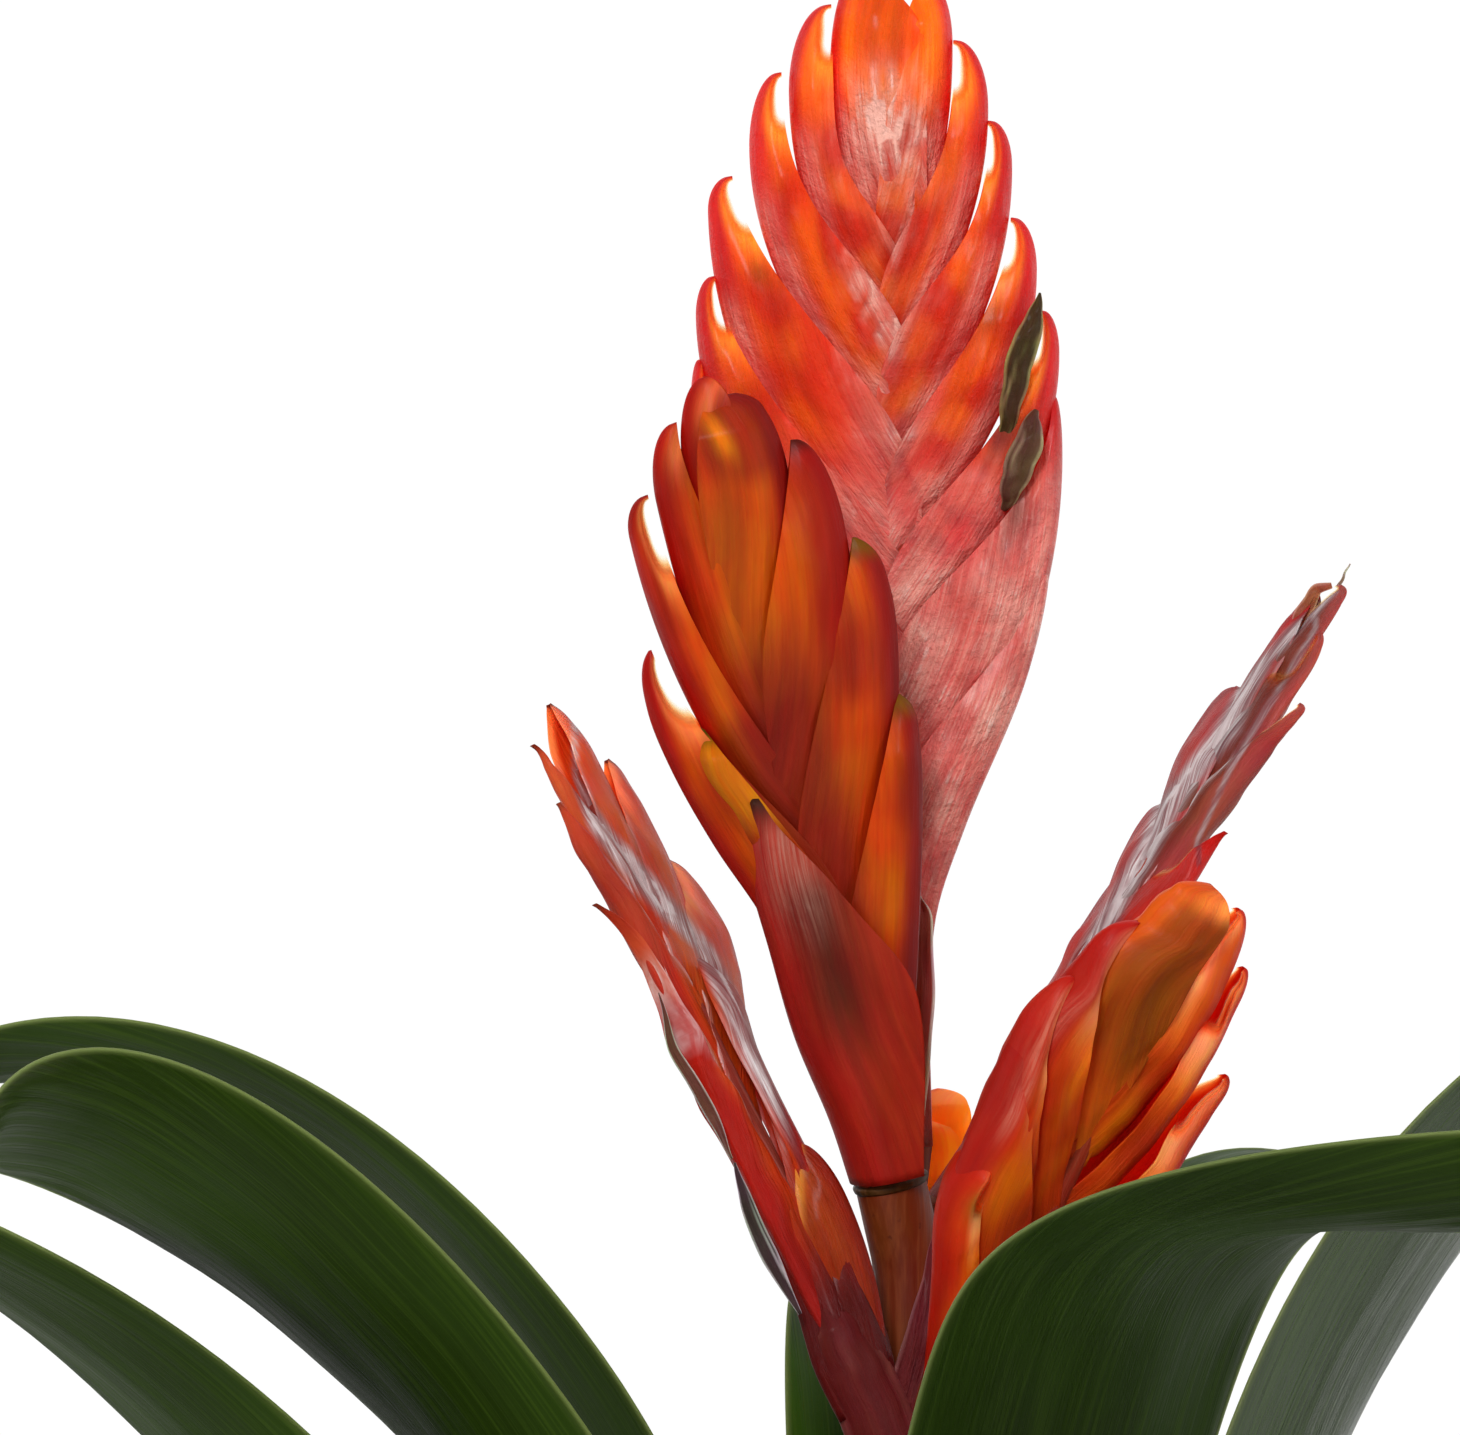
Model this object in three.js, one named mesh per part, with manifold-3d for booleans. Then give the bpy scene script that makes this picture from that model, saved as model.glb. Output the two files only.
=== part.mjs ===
// Flaming sword bromeliad, a whole plant cut from its roots. Millimetres, +Z up.
// The origin is the middle of the flat cut face under the stem base; -Y is the side the big spike faces.
import * as THREE from "three";
import Module from "manifold-3d";

const wasm = await Module();
wasm.setup();
const group = new THREE.Group();
group.name = "flaming_sword_bromeliad";

// ---------------------------------------------------------------- helpers
const rad = (d) => (d * Math.PI) / 180;
const smooth = (x) => {
  const c = Math.min(Math.max(x, 0), 1);
  return c * c * (3 - 2 * c);
};
const add = (...v) => v.reduce((a, b) => [a[0] + b[0], a[1] + b[1], a[2] + b[2]]);
const mul = (a, k) => [a[0] * k, a[1] * k, a[2] * k];
const sub = (a, b) => [a[0] - b[0], a[1] - b[1], a[2] - b[2]];
const dot = (a, b) => a[0] * b[0] + a[1] * b[1] + a[2] * b[2];
const cross = (a, b) => [a[1] * b[2] - a[2] * b[1], a[2] * b[0] - a[0] * b[2], a[0] * b[1] - a[1] * b[0]];
const unit = (a) => mul(a, 1 / Math.hypot(...a));
const cubic = (c, t) => {
  const s = 1 - t;
  return c[0] * s * s * s + 3 * c[1] * s * s * t + 3 * c[2] * s * t * t + c[3] * t * t * t;
};
// points of a level circle, or of a ring about p in the plane of u and v
const circle = (sides, at) => Array.from({ length: sides }, (_, k) => {
  const w = (2 * Math.PI * k) / sides;
  return at(Math.cos(w), Math.sin(w));
});

// a closed body from rings of points (all rings the same length), closed by a fan at each end
function skin(rings) {
  const n = rings[0].length, m = rings.length, pts = rings.flat(), tri = [];
  for (let i = 0; i < m - 1; i++) for (let j = 0; j < n; j++) {
    const a = i * n + j, b = i * n + ((j + 1) % n), c = a + n, d = b + n;
    tri.push(a, b, d, a, d, c);
  }
  for (const [row, flip] of [[0, true], [m - 1, false]]) {
    const mid = pts.length;
    pts.push(mul(rings[row].reduce((s, p) => add(s, p), [0, 0, 0]), 1 / n));
    for (let j = 0; j < n; j++) {
      const a = row * n + j, b = row * n + ((j + 1) % n);
      if (flip) tri.push(b, a, mid); else tri.push(a, b, mid);
    }
  }
  return body(pts, tri);
}
function body(pts, tri) {
  const make = (t) => new wasm.Manifold(new wasm.Mesh({
    numProp: 3, vertProperties: new Float32Array(pts.flat()), triVerts: new Uint32Array(t),
  }));
  const solid = make(tri);
  if (solid.volume() > 0) return solid;
  const turned = [];
  for (let i = 0; i < tri.length; i += 3) turned.push(tri[i], tri[i + 2], tri[i + 1]);
  return make(turned);
}
// fuse, fill what the fusing sealed off, drop loose scraps
function fuse(parts, tolerance) {
  let best = null;
  for (const piece of wasm.Manifold.union(parts).simplify(tolerance).decompose())
    if (!best || piece.volume() > best.volume()) best = piece;
  return best;
}
const made = {};
function put(name, solid, color, roughness = 0.5) {
  const mesh = solid.getMesh();
  const geometry = new THREE.BufferGeometry();
  geometry.setAttribute("position", new THREE.Float32BufferAttribute(mesh.vertProperties, mesh.numProp));
  geometry.setIndex([...mesh.triVerts]);
  geometry.computeVertexNormals();
  const item = new THREE.Mesh(geometry, new THREE.MeshStandardMaterial({ color, roughness }));
  item.name = name;
  group.add(item);
  made[name] = solid;
}
// a round rod through points [x, y, z, radius]
function rod(path, sides = 12) {
  const rings = path.map((p, i) => {
    const a = path[Math.max(i - 1, 0)], b = path[Math.min(i + 1, path.length - 1)];
    const d = unit(sub(b, a)), u = unit(cross([0, -1, 0], d)), v = cross(d, u);
    return circle(sides, (c, s) => add(p, mul(u, p[3] * c), mul(v, p[3] * s)));
  });
  return skin(rings);
}

// ---------------------------------------------------------------- leaves
// Each strap leaf leaves the stem a little lower and further out than the last: order counts them from the top.
// elev, azim and roll (degrees) are cubic control values from foot to tip; channel is how far the rims rise.
const THICK = 0.9;
function leafSurface(leaf) {
  const { order, elev, azim, roll, length, width, channel } = leaf;
  const N = 60, r = [9.5 + 1.5 * order], z = [40 - 2.5 * order];
  for (let i = 0; i < N; i++) {
    const a = rad(cubic(elev, i / N)), b = rad(cubic(elev, (i + 1) / N)), ds = length / N;
    r.push(r[i] + (Math.cos(a) + Math.cos(b)) / 2 * ds);
    z.push(z[i] + (Math.sin(a) + Math.sin(b)) / 2 * ds);
  }
  const at = (arr, t) => {
    const i = Math.min(Math.floor(t * N), N - 1);
    return arr[i] + (arr[i + 1] - arr[i]) * (t * N - i);
  };
  return (t, u) => {
    const R = at(r, t), Z = at(z, t);
    const th = rad(cubic(elev, t)), phi = rad(cubic(azim, t)), rho = rad(cubic(roll, t));
    const foot = Math.min(1.35 * r[0], width / 2);
    const taper = 1 - Math.max((t - 0.5) / 0.5, 0) ** 2.4 * 0.97;
    const half = (foot + (width / 2 - foot) * smooth(t / 0.4)) * taper;
    const beta = u * Math.min(half / R, 1.45);
    const er = [Math.cos(phi), Math.sin(phi), 0], es = [-Math.sin(phi), Math.cos(phi), 0];
    const n = [-Math.sin(th) * er[0], -Math.sin(th) * er[1], Math.cos(th)];
    const T = [Math.cos(th) * er[0], Math.cos(th) * er[1], Math.sin(th)];
    const lift = channel * smooth((t - 0.2) / 0.32) * (1 - 0.6 * t) * Math.abs(u) ** 1.8;
    const v = add(mul(es, R * Math.sin(beta)), mul(er, -R * (1 - Math.cos(beta))), mul(n, lift));
    const c = Math.cos(rho), w = add(mul(v, c), mul(cross(T, v), Math.sin(rho)), mul(T, dot(T, v) * (1 - c)));
    return add(mul(er, R), [0, 0, Z], w);
  };
}
const ROWS = [0, 0.07, 0.16, 0.26, 0.36, 0.45, 0.54, 0.63, 0.72, 0.81, 0.89, 0.955, 1];
const COLS = [-1, -0.5, 0, 0.5, 1];
function leafBody(leaf) {
  const f = leafSurface(leaf), e = 1e-3, top = [], low = [];
  for (const t of ROWS) for (const u of COLS) {
    const p = f(t, u);
    const dt = sub(f(Math.min(t + e, 1), u), f(Math.max(t - e, 0), u));
    const du = sub(f(t, Math.min(u + e, 1)), f(t, Math.max(u - e, -1)));
    const n = mul(unit(cross(dt, du)), THICK / 2);
    top.push(add(p, n));
    low.push(sub(p, n));
  }
  const pts = [...top, ...low], tri = [], c = COLS.length, m = ROWS.length, o = top.length;
  for (let i = 0; i < m - 1; i++) for (let j = 0; j < c - 1; j++) {
    const a = i * c + j, b = a + 1, d = a + c, g = d + 1;
    tri.push(a, d, g, a, g, b, o + a, o + g, o + d, o + a, o + b, o + g);
  }
  const edge = (a, b) => tri.push(a, b, o + b, a, o + b, o + a);
  for (let i = 0; i < m - 1; i++) {
    edge((i + 1) * c, i * c);
    edge(i * c + c - 1, (i + 1) * c + c - 1);
  }
  for (let j = 0; j < c - 1; j++) {
    edge(j, j + 1);
    edge((m - 1) * c + j + 1, (m - 1) * c + j);
  }
  return body(pts, tri);
}
// outer leaves bow over until they just touch the surface the plant stands on
function settle(leaf) {
  let lo = -120, hi = 20;
  for (let i = 0; i < 40; i++) {
    const mid = (lo + hi) / 2;
    leaf.elev[3] = mid;
    if (leafBody(leaf).boundingBox().min[2] < 0) lo = mid; else hi = mid;
  }
  leaf.elev[3] = hi;
  return leaf;
}
const same = (a) => [a, a, a, a];
const leaf = (order, elev, azim, roll, length, width, channel) => (
  { order, elev, azim, roll, length, width, channel });
const LEAVES = [
  leaf(0, [89.5, 91, 84, -60], same(94), same(0), 250, 36, 4),
  leaf(1, [88, 86.5, 66, -30], same(55), same(0), 280, 30, 4),
  leaf(2, [86.4, 82.4, 38.2, -25.3], [172, 162.8, 152.7, 149], [0, -2.6, 61.4, 5.1], 339.9, 51.5, 8.4),
  leaf(3, [86, 70.6, -22.4, 17.4], [-73, -60.5, -97, -69.2], [0, -11.8, 60, -61.4], 420, 54, 3.1),
  leaf(4, [81, 76.5, 29, -14.8], [-150, -167, -144.1, -121.6], [0, 10, -8, 58], 365, 54, 6.1),
  leaf(5, [68.8, 83.1, 90, -81.4], [-8, -23.5, -29.3, -25], [0, -2.3, -13, -24], 378.4, 45.2, 1.7),
  leaf(6, [68.2, 64.4, 45.2, -26.2], [-156.3, -153.9, -156, -161.9], [0, 24.1, 12, -12], 384.3, 47.4, 4.5),
  leaf(7, [66, 63, 8, -60], same(100), same(0), 350, 47, 5),
  leaf(8, [62, 58, 2, -60], same(134), [0, 0, 5, 5], 345, 47, 5),
  leaf(9, [62, 56, -5, -60], same(14), [0, 0, -5, -8], 340, 46, 5),
  settle(leaf(10, [58, 47, -30, -60], same(-104), [0, 0, 5, 5], 320, 46, 5)),
  settle(leaf(11, [56, 46, -24, -60], same(158), same(0), 315, 45, 5)),
  settle(leaf(12, [54, 44, -24, -60], same(42), same(0), 310, 44, 5)),
  settle(leaf(13, [50, 40, -26, -60], same(-46), same(0), 300, 43, 5)),
];
LEAVES.forEach((item, i) => put(`leaf_${String(i + 1).padStart(2, "0")}`, leafBody(item), 0x35421b, 0.35));

// ---------------------------------------------------------------- stem base and scape
const lathe = (profile, sides) => skin(profile.map(([r, z]) => circle(sides, (c, s) => [r * c, r * s, z])));
put("stem_base", lathe([[21, 0], [23, 1.5], [28, 5], [28, 6.6], [8, 40], [7.4, 42]], 24), 0x4a4a22, 0.8);

// ---------------------------------------------------------------- flower spikes
const LIFT = 0.3; // gap between the end of a branch and the spike on it
// Each spike is two ranks of folded bracts on one flat stalk: where it starts, where it points, how far it is
// turned about its own axis, half its thickness, and the radius of its foot.
// bract: [side, tip height, tip reach, length, swell past the tip, {extras}]. Heights run up the spike from
// its foot and reaches out from its middle line, on the bract's own side. Extras:
//   peak: how far below the tip the keel reaches furthest      slim: how soon it draws in below that
//   cross, bow: how far down and how roundly the free margin runs across the face
//   wrap: how far past the middle it ends                      keel, margin: [below the tip, reach] pairs instead
//   thin, foot: how thick it is in all and where it joins      blunt: how soon its tip is full
//   turn: degrees it is turned off its rank
const SPIKES = {
  spike_main: {
    base: [1.4, 10, 242.3], tip: [-2.2, 10, 431.7], roll: 0, deep: 6, neck: 5.4, rows: [
      [-1, 96, 28, 84, 0, { keel: [[0, 28], [6, 28.6], [30, 22], [54, 10], [72, 4], [84, 2.4]], cross: 40,
        bow: 1.6 }],
      [1, 99.1, 23.8, 99, 0, { keel: [[0, 23.8], [5, 24.2], [23, 20.2], [48, 9.4], [62, 4.6], [99, 3.2]],
        cross: 38, bow: 1.8 }],
      [-1, 113.2, 31.5, 52, 1, { peak: 7, slim: 0.7, cross: 43, bow: 1.65, wrap: 5 }],
      [1, 121.5, 25.5, 67, 1.1, { slim: 0.78, cross: 37.5, bow: 2, wrap: 5 }],
      [-1, 128.5, 32.3, 61, 1.4, { slim: 0.94, cross: 45, bow: 1.7, wrap: 6 }],
      [1, 135.4, 23.9, 59, 2.5, { peak: 6.5, slim: 1.4, cross: 39, bow: 1.9, wrap: 5.4 }],
      [-1, 142, 29.8, 61, 2.8, { peak: 6.5, slim: 0.98, cross: 49, bow: 1.6, wrap: 7 }],
      [1, 150.6, 19.4, 57, 3.6, { slim: 1.38, cross: 39, bow: 1.8, wrap: 5 }],
      [-1, 158.2, 26.7, 64, 3.6, { peak: 5.5, slim: 0.84, cross: 43, bow: 1.55, wrap: 4.6 }],
      [1, 166.4, 16, 55, 3.3, { peak: 7, slim: 1.18, cross: 34.5, bow: 2.6, wrap: 4.7 }],
      [-1, 174.9, 18.4, 61, 5, { peak: 12.5, slim: 1.13, cross: 38.5, bow: 2.7, wrap: 4.2 }],
      [1, 179.6, 10.6, 55, 5, { peak: 10.5, slim: 1.38, cross: 35, bow: 2.9, wrap: 4.4 }],
      [-1, 185.8, 10.1, 50, 6.7, { peak: 14.5, slim: 0.64, cross: 35, bow: 7, wrap: 4.2 }],
      [1, 188.7, 6.9, 45, 3.1, { peak: 9, cross: 46, bow: 0.46, wrap: 4.2, blunt: 0.15 }],
      [-1, 190.2, 5.6, 44, 4.4, { peak: 15.7, slim: 0.78, cross: 9, bow: 0.5, wrap: 5.4, blunt: 0.15 }],
    ],
  },
  spike_front: {
    base: [-2.5, -3, 237.9], tip: [-31.4, -22, 365.8], roll: 0, deep: 5.4, neck: 5.7, rows: [
      [-1, 67.6, 8.5, 67, 0, { keel: [[0, 8.5], [4, 10.3], [12, 11.4], [27, 10.8], [42, 9.9], [57, 7.3],
        [67, 6.4]], margin: [[0, 8], [7, 4.9], [15, 0], [24, -4.8], [33, -9.6], [38, -10.7], [67, -5.5]],
        thin: 1.2, foot: 6.8, blunt: 0.1 }],
      [1, 76.5, 18.5, 76, 0, { keel: [[0, 18.5], [2, 20], [9, 20], [21, 17.7], [43, 12.1], [60, 7.5],
        [76, 5.8]], cross: 51, bow: 1, wrap: 6, thin: 1.08, blunt: 0.12 }],
      [-1, 78.1, 13.7, 44, 0, { keel: [[0, 13.7], [1.4, 15], [6.4, 15.7], [14, 13.2], [29, 9.2], [44, 6]],
        cross: 36, bow: 0.95, wrap: 4.7, thin: 1.1, blunt: 0.15 }],
      [-1, 92.1, 19, 72, 0, { keel: [[0, 19], [2, 20.4], [9, 21.3], [19, 19.8], [33, 15.7], [46, 10.7],
        [72, 4.6]], cross: 41, bow: 1.4, wrap: 4.5 }],
      [1, 102.6, 17.1, 74, 0, { keel: [[0, 17.1], [2.4, 19.5], [9, 20.8], [18, 20.1], [34, 16.3],
        [49, 10.9], [74, 4.8]], cross: 54, bow: 1.35, wrap: 5 }],
      [-1, 116.5, 14.1, 63, 3.9, { peak: 6, slim: 0.87, cross: 60, bow: 1.9, wrap: 6 }],
      [1, 120, 10.9, 64, 5, { peak: 14, slim: 1.3, cross: 41.5, bow: 1.5 }],
      [-1, 126.8, 7.1, 59, 5.5, { margin: [[0, 6.6], [4, 6.9], [10, 6.4], [20, 4.4], [40, 0], [59, -2]],
        peak: 12, slim: 0.45 }],
      [1, 129.3, 3.6, 56, 0, { keel: [[0, 3.6], [1.3, 6.1], [4, 7.7], [11, 9], [21, 8.1], [33, 5.2],
        [45, 2.8], [56, 2.5]], margin: [[0, 2.4], [0.5, -0.6], [2, -2.5], [5, -3.8], [11, -5.3], [22, -6.4],
        [56, -5]], blunt: 0.1 }],
      [-1, 132.9, 0.9, 53, 6.6, { margin: [[0, 0.3], [2, -1.6], [5, -2.5], [14, -1.4], [28, 0], [53, -0.7]],
        peak: 18, slim: 0.6, blunt: 0.2 }],
    ],
  },
  spike_left: {
    base: [-4.4, -15, 199.6], tip: [-56.9, 4, 314.2], roll: -66, deep: 3, neck: 5, rows: [
      [1, 46, 6.4, 44, 4, { turn: 70, peak: 11, cross: 20, bow: 1.2, wrap: 3 }],
      [1, 60, 5.5, 57, 1, { turn: 50, cross: 44, foot: 4.4 }],
      [-1, 75.4, 4, 73, 0, { keel: [[0, 4], [9, 5.4], [29, 4.4], [53, 4.8], [64, 6.4], [73, 6]], turn: -40,
        cross: 52, bow: 1, thin: 1.1, foot: 4.4 }],
      [1, 80, 5, 77, 0, { keel: [[0, 5], [7, 8.2], [18, 7.4], [47, 8.3], [66, 7.6], [77, 5.4]],
        margin: [[0, 4.6], [5, 3.6], [41, 4], [56, 1.9], [77, -2]], turn: 50, thin: 1.15, foot: 4.4 }],
      [-1, 92.8, 17, 86, 0, { keel: [[0, 17], [1, 15], [3, 12], [6, 9.2], [10, 7.6], [26, 7], [60, 6],
        [86, 4]], cross: 56, bow: 0.9 }],
      [1, 98.6, 15.2, 50, 0, { keel: [[0, 15.2], [1, 18.4], [4, 21.7], [9, 23.8], [14, 24.4], [20, 22.5],
        [32, 15], [50, 4]], cross: 38, bow: 1.5, thin: 0.9 }],
      [-1, 110.5, 13.6, 56, 0, { keel: [[0, 13.6], [2, 12.8], [7, 12.2], [12, 10.8], [18, 8.6], [34, 7],
        [56, 3]], cross: 44, bow: 1, thin: 0.85 }],
      [1, 116.9, 10.7, 58, 0, { keel: [[0, 10.7], [1, 12.6], [5, 14.3], [15, 15.6], [30, 14], [45, 9],
        [58, 3]], cross: 36, bow: 1.3, thin: 0.8 }],
      [-1, 120.8, 13.5, 58, 0, { keel: [[0, 13.5], [1, 12], [5, 11.2], [14, 10.2], [30, 7.4], [58, 3]],
        cross: 36, bow: 0.9, thin: 0.75 }],
      [1, 127.5, -0.8, 54, 0, { keel: [[0, -0.8], [1, 1.4], [4, 3.9], [9, 6], [20, 6.8], [38, 5.5],
        [54, 2.4]], cross: 18, bow: 0.6, wrap: 6, thin: 0.7, blunt: 0.15 }],
    ],
  },
  spike_right_lower: {
    base: [6, -13, 204], tip: [47.5, -35, 286], roll: -35, deep: 5.4, neck: 4.8, rows: [
      [-1, 43.4, 16.5, 43, 0, { keel: [[0, 16.5], [2, 18], [9, 18.9], [16, 17.2], [25, 12.9], [43, 4.8]],
        margin: [[0, 16], [5.6, 16.5], [10, 15], [15, 12.2], [23, 7.5], [43, -2]] }],
      [1, 48, 17, 48, 2.4, { cross: 30 }],
      [1, 64.8, 20.9, 54, 0, { keel: [[0, 20.9], [1, 21.8], [7, 21.2], [18, 19.2], [31, 14], [54, 2.4]],
        margin: [[0, 20.5], [2.4, 17.8], [6, 15], [10, 13], [17, 11.7], [26, 8.6], [54, -2]] }],
      [-1, 68.7, 14.6, 62, 0, { keel: [[0, 14.6], [2, 17], [7, 19.6], [20, 19.5], [34, 18.4], [42, 15.9],
        [62, 3.5]], margin: [[0, 14.2], [5, 17.8], [11, 17.3], [22, 12.4], [38, 3.2], [62, -3]],
        thin: 1.15 }],
      [-1, 73.1, 16.3, 54, 3.9, { margin: [[0, 15.9], [5, 17.3], [10, 17.3], [18, 14.6], [32, 8], [54, -2]],
        peak: 9.7, thin: 1.1 }],
      [1, 82.8, 13.8, 50, 1.8, { margin: [[0, 13.3], [3, 11.5], [8, 8], [20, 7], [30, 5.8], [50, -1]],
        peak: 5.5, slim: 0.45 }],
      [-1, 84.9, 10, 57, 0, { keel: [[0, 10], [1, 12.6], [4, 15], [11.8, 16.1], [17, 18], [22, 18.8],
        [28, 18.2], [38, 13.4], [57, 4]], margin: [[0, 9.6], [2, 11], [5, 12.4], [10, 13], [20, 10.4],
        [31, 6], [57, -4]], thin: 1.06 }],
      [1, 91.8, 7.3, 47, 3.9, { margin: [[0, 6.8], [3, 4.6], [7, 2.4], [12, 1.4], [26, 1], [47, -3]],
        peak: 10.5, slim: 0.52 }],
      [-1, 94.2, -2.5, 50, 0, { keel: [[0, -2.5], [0.6, 3.5], [3, 6.8], [6, 8.5], [9.5, 9.6], [12, 12],
        [16, 13.8], [20, 14], [29, 11.8], [40, 7.6], [50, 3]], margin: [[0, -2.8], [3, -1.8], [12, -1.6],
        [50, -2]], blunt: 0.1 }],
    ],
  },
  spike_right_upper: {
    base: [7, 21, 230.6], tip: [71.8, 37, 335.2], roll: 66, deep: 2.9, neck: 4.4, rows: [
      [-1, 40, 6.5, 40, 2, { cross: 34 }],
      [1, 46, 9, 44, 2, { cross: 34 }],
      [-1, 65.5, 10, 46, 1.5, { cross: 40, bow: 1.1 }],
      [1, 76.3, 14.8, 45, 0, { keel: [[0, 14.8], [1.3, 13.3], [3.5, 12.4], [10, 12.9], [18, 11], [45, 4]],
        cross: 26, bow: 0.9 }],
      [-1, 77.9, 11, 42, 0, { keel: [[0, 11], [0.7, 12.6], [3, 13.8], [10, 12.8], [19, 9.4], [42, 3]],
        cross: 18, bow: 0.8 }],
      [1, 101.1, 14.2, 52, 0, { keel: [[0, 14.2], [0.6, 15.5], [2.6, 15], [5.4, 13.4], [8.3, 11.3],
        [16, 9.6], [26, 7.9], [52, 3]], cross: 38, bow: 0.9 }],
      [-1, 101.4, 9.5, 46, 0, { keel: [[0, 9.5], [0.6, 11.8], [2.6, 13.8], [6, 14.5], [15.6, 13.8],
        [25, 9.5], [46, 3]], cross: 18, bow: 0.8, thin: 0.9 }],
      [1, 114.7, 5.2, 50, 0, { keel: [[0, 5.2], [1.2, 7.8], [3.6, 9.5], [7, 10.2], [14, 9.2], [29, 8],
        [50, 3]], cross: 30, bow: 0.7, thin: 0.8 }],
      [-1, 121.5, 5, 46, 0, { keel: [[0, 5], [4, 5.2], [11, 6.8], [20, 7.6], [46, 3]], cross: 16, bow: 0.8,
        thin: 0.72, blunt: 0.15 }],
      [1, 123, 4.8, 50, 0, { keel: [[0, 4.8], [0.5, 6.1], [3.3, 7.2], [10, 6.9], [30, 6.4], [50, 3]],
        cross: 20, bow: 0.45, thin: 0.6 }],
    ],
  },
  spike_back: {
    base: [6, 30, 216], tip: [6, 40, 254], roll: 0, deep: 4.8, neck: 4, rows: [
      [-1, 26, 5.6, 24, 1, { cross: 18 }],
      [1, 31.5, 1, 30, 0, { keel: [[0, 1], [1, 4.4], [3, 6.2], [8, 7.4], [15, 6.6], [30, 3]],
        margin: [[0, 0], [1, -3], [4, -5.2], [10, -6], [30, -3.4]], thin: 1.16, blunt: 0.12 }],
      [-1, 35.5, 0, 32, 0, { keel: [[0, 0], [1, 2.6], [4, 4.6], [9, 5.4], [32, 3]], margin: [[0, -0.6],
        [1, -3.4], [4, -5.4], [9, -5.6], [32, -3]], blunt: 0.12 }],
    ],
  },
};
function frameOf(s) {
  const a = unit(sub(s.tip, s.base));
  const n0 = unit(sub([0, -1, 0], mul(a, dot([0, -1, 0], a)))), e0 = cross(a, n0);
  return (extra = 0) => {
    const c = Math.cos(rad(s.roll + extra)), q = Math.sin(rad(s.roll + extra));
    return { a, e: add(mul(e0, c), mul(n0, q)), n: sub(mul(n0, c), mul(e0, q)) };
  };
}
// smooth curve through [x, y] pairs
function through(k, x) {
  let i = 0;
  while (i < k.length - 2 && x > k[i + 1][0]) i++;
  const m = (j) => j < 0 || j > k.length - 2 ? 0 : (k[j + 1][1] - k[j][1]) / (k[j + 1][0] - k[j][0]);
  const s0 = i === 0 ? m(0) * 1.5 : (m(i - 1) + m(i)) / 2;
  const s1 = i === k.length - 2 ? m(i) : (m(i) + m(i + 1)) / 2;
  const w = k[i + 1][0] - k[i][0], q = (x - k[i][0]) / w, f = 3 * q * q - 2 * q ** 3;
  return (1 - f) * k[i][1] + f * k[i + 1][1] + w * (q * (1 - q) ** 2 * s0 - q * q * (1 - q) * s1);
}
// reach of a bract's keel and of its free margin at d below the tip, and half its thickness
function bractLines([, , reach, long, swell, more], deep) {
  const { peak = 8, slim = 0.9, cross = 36, bow = 1.4, wrap = 4, thin = 1, foot = 2.4, blunt = 0.3 } = more;
  const low = 2.4; // reach of a keel where its bract joins the stalk
  const round = (d) => {
    if (d < peak) return reach + swell * Math.sqrt(1 - (1 - d / peak) ** 2);
    const t = (d - peak) / (long - peak);
    return low + (reach + swell - low) * Math.max(1 - t * t, 0) ** slim;
  };
  const sweep = (d) => {
    const x = d / cross, y = x / (1 + x ** 7) ** (1 / 7);
    return reach - 0.5 - (reach - 0.5 + wrap) * y ** bow;
  };
  const keel = (d) => (more.keel ? through(more.keel, d) : round(d));
  const margin = (d) => {
    const k = keel(d), m = more.margin ? through(more.margin, d) : sweep(d);
    return Math.max(Math.min(m, k - 0.5), -Math.abs(k) - 3);
  };
  const depth = (d) => {
    const body = foot + (deep - foot) * smooth((1 - d / long) / 0.62);
    return Math.max(thin * body * Math.min(1, (d / long / blunt + 0.02) ** 0.62), 0.45);
  };
  return { keel, margin, depth };
}
// a folded bract: rings from its foot to its tip, each from the keel round one face and back along the other
const STEPS = [0, 0.28, 0.52, 0.7, 0.84, 0.93, 0.98, 1];
function bract(s, row) {
  const [side, tip, , long, , more] = row;
  const frame = s.frame(side * (more.turn ?? 0)), lines = bractLines(row, s.deep);
  return skin(STEPS.map((t) => {
    const d = (1 - t) * long, k = lines.keel(d), m = lines.margin(d), thick = lines.depth(d), w = k - m;
    const middle = add(s.base, mul(frame.a, tip - d + LIFT));
    const at = (x, y) => add(middle, mul(frame.e, side * x), mul(frame.n, y * thick));
    const bend = k - Math.min(2, w * 0.3), flat = k - Math.min(7, w * 0.62), inside = m + w * 0.3;
    return [
      at(k, 0), at(bend, 0.62), at(flat, 0.97), at(m, 0.9),
      at(inside, 0), at(m, -0.9), at(flat, -0.97), at(bend, -0.62),
    ];
  }));
}
for (const [name, s] of Object.entries(SPIKES)) {
  s.frame = frameOf(s);
  const long = Math.hypot(...sub(s.tip, s.base));
  const stalk = [[LIFT, s.neck], [0.15 * long, s.neck * 0.8], [0.5 * long, 2.6], [0.85 * long, 1.4]];
  const core = rod(stalk.map(([up, radius]) => [...add(s.base, mul(s.frame().a, up)), radius]), 10);
  put(name, fuse([core, ...s.rows.map((row) => bract(s, row))], 0.22), 0xc8401e, 0.4);
}

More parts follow.
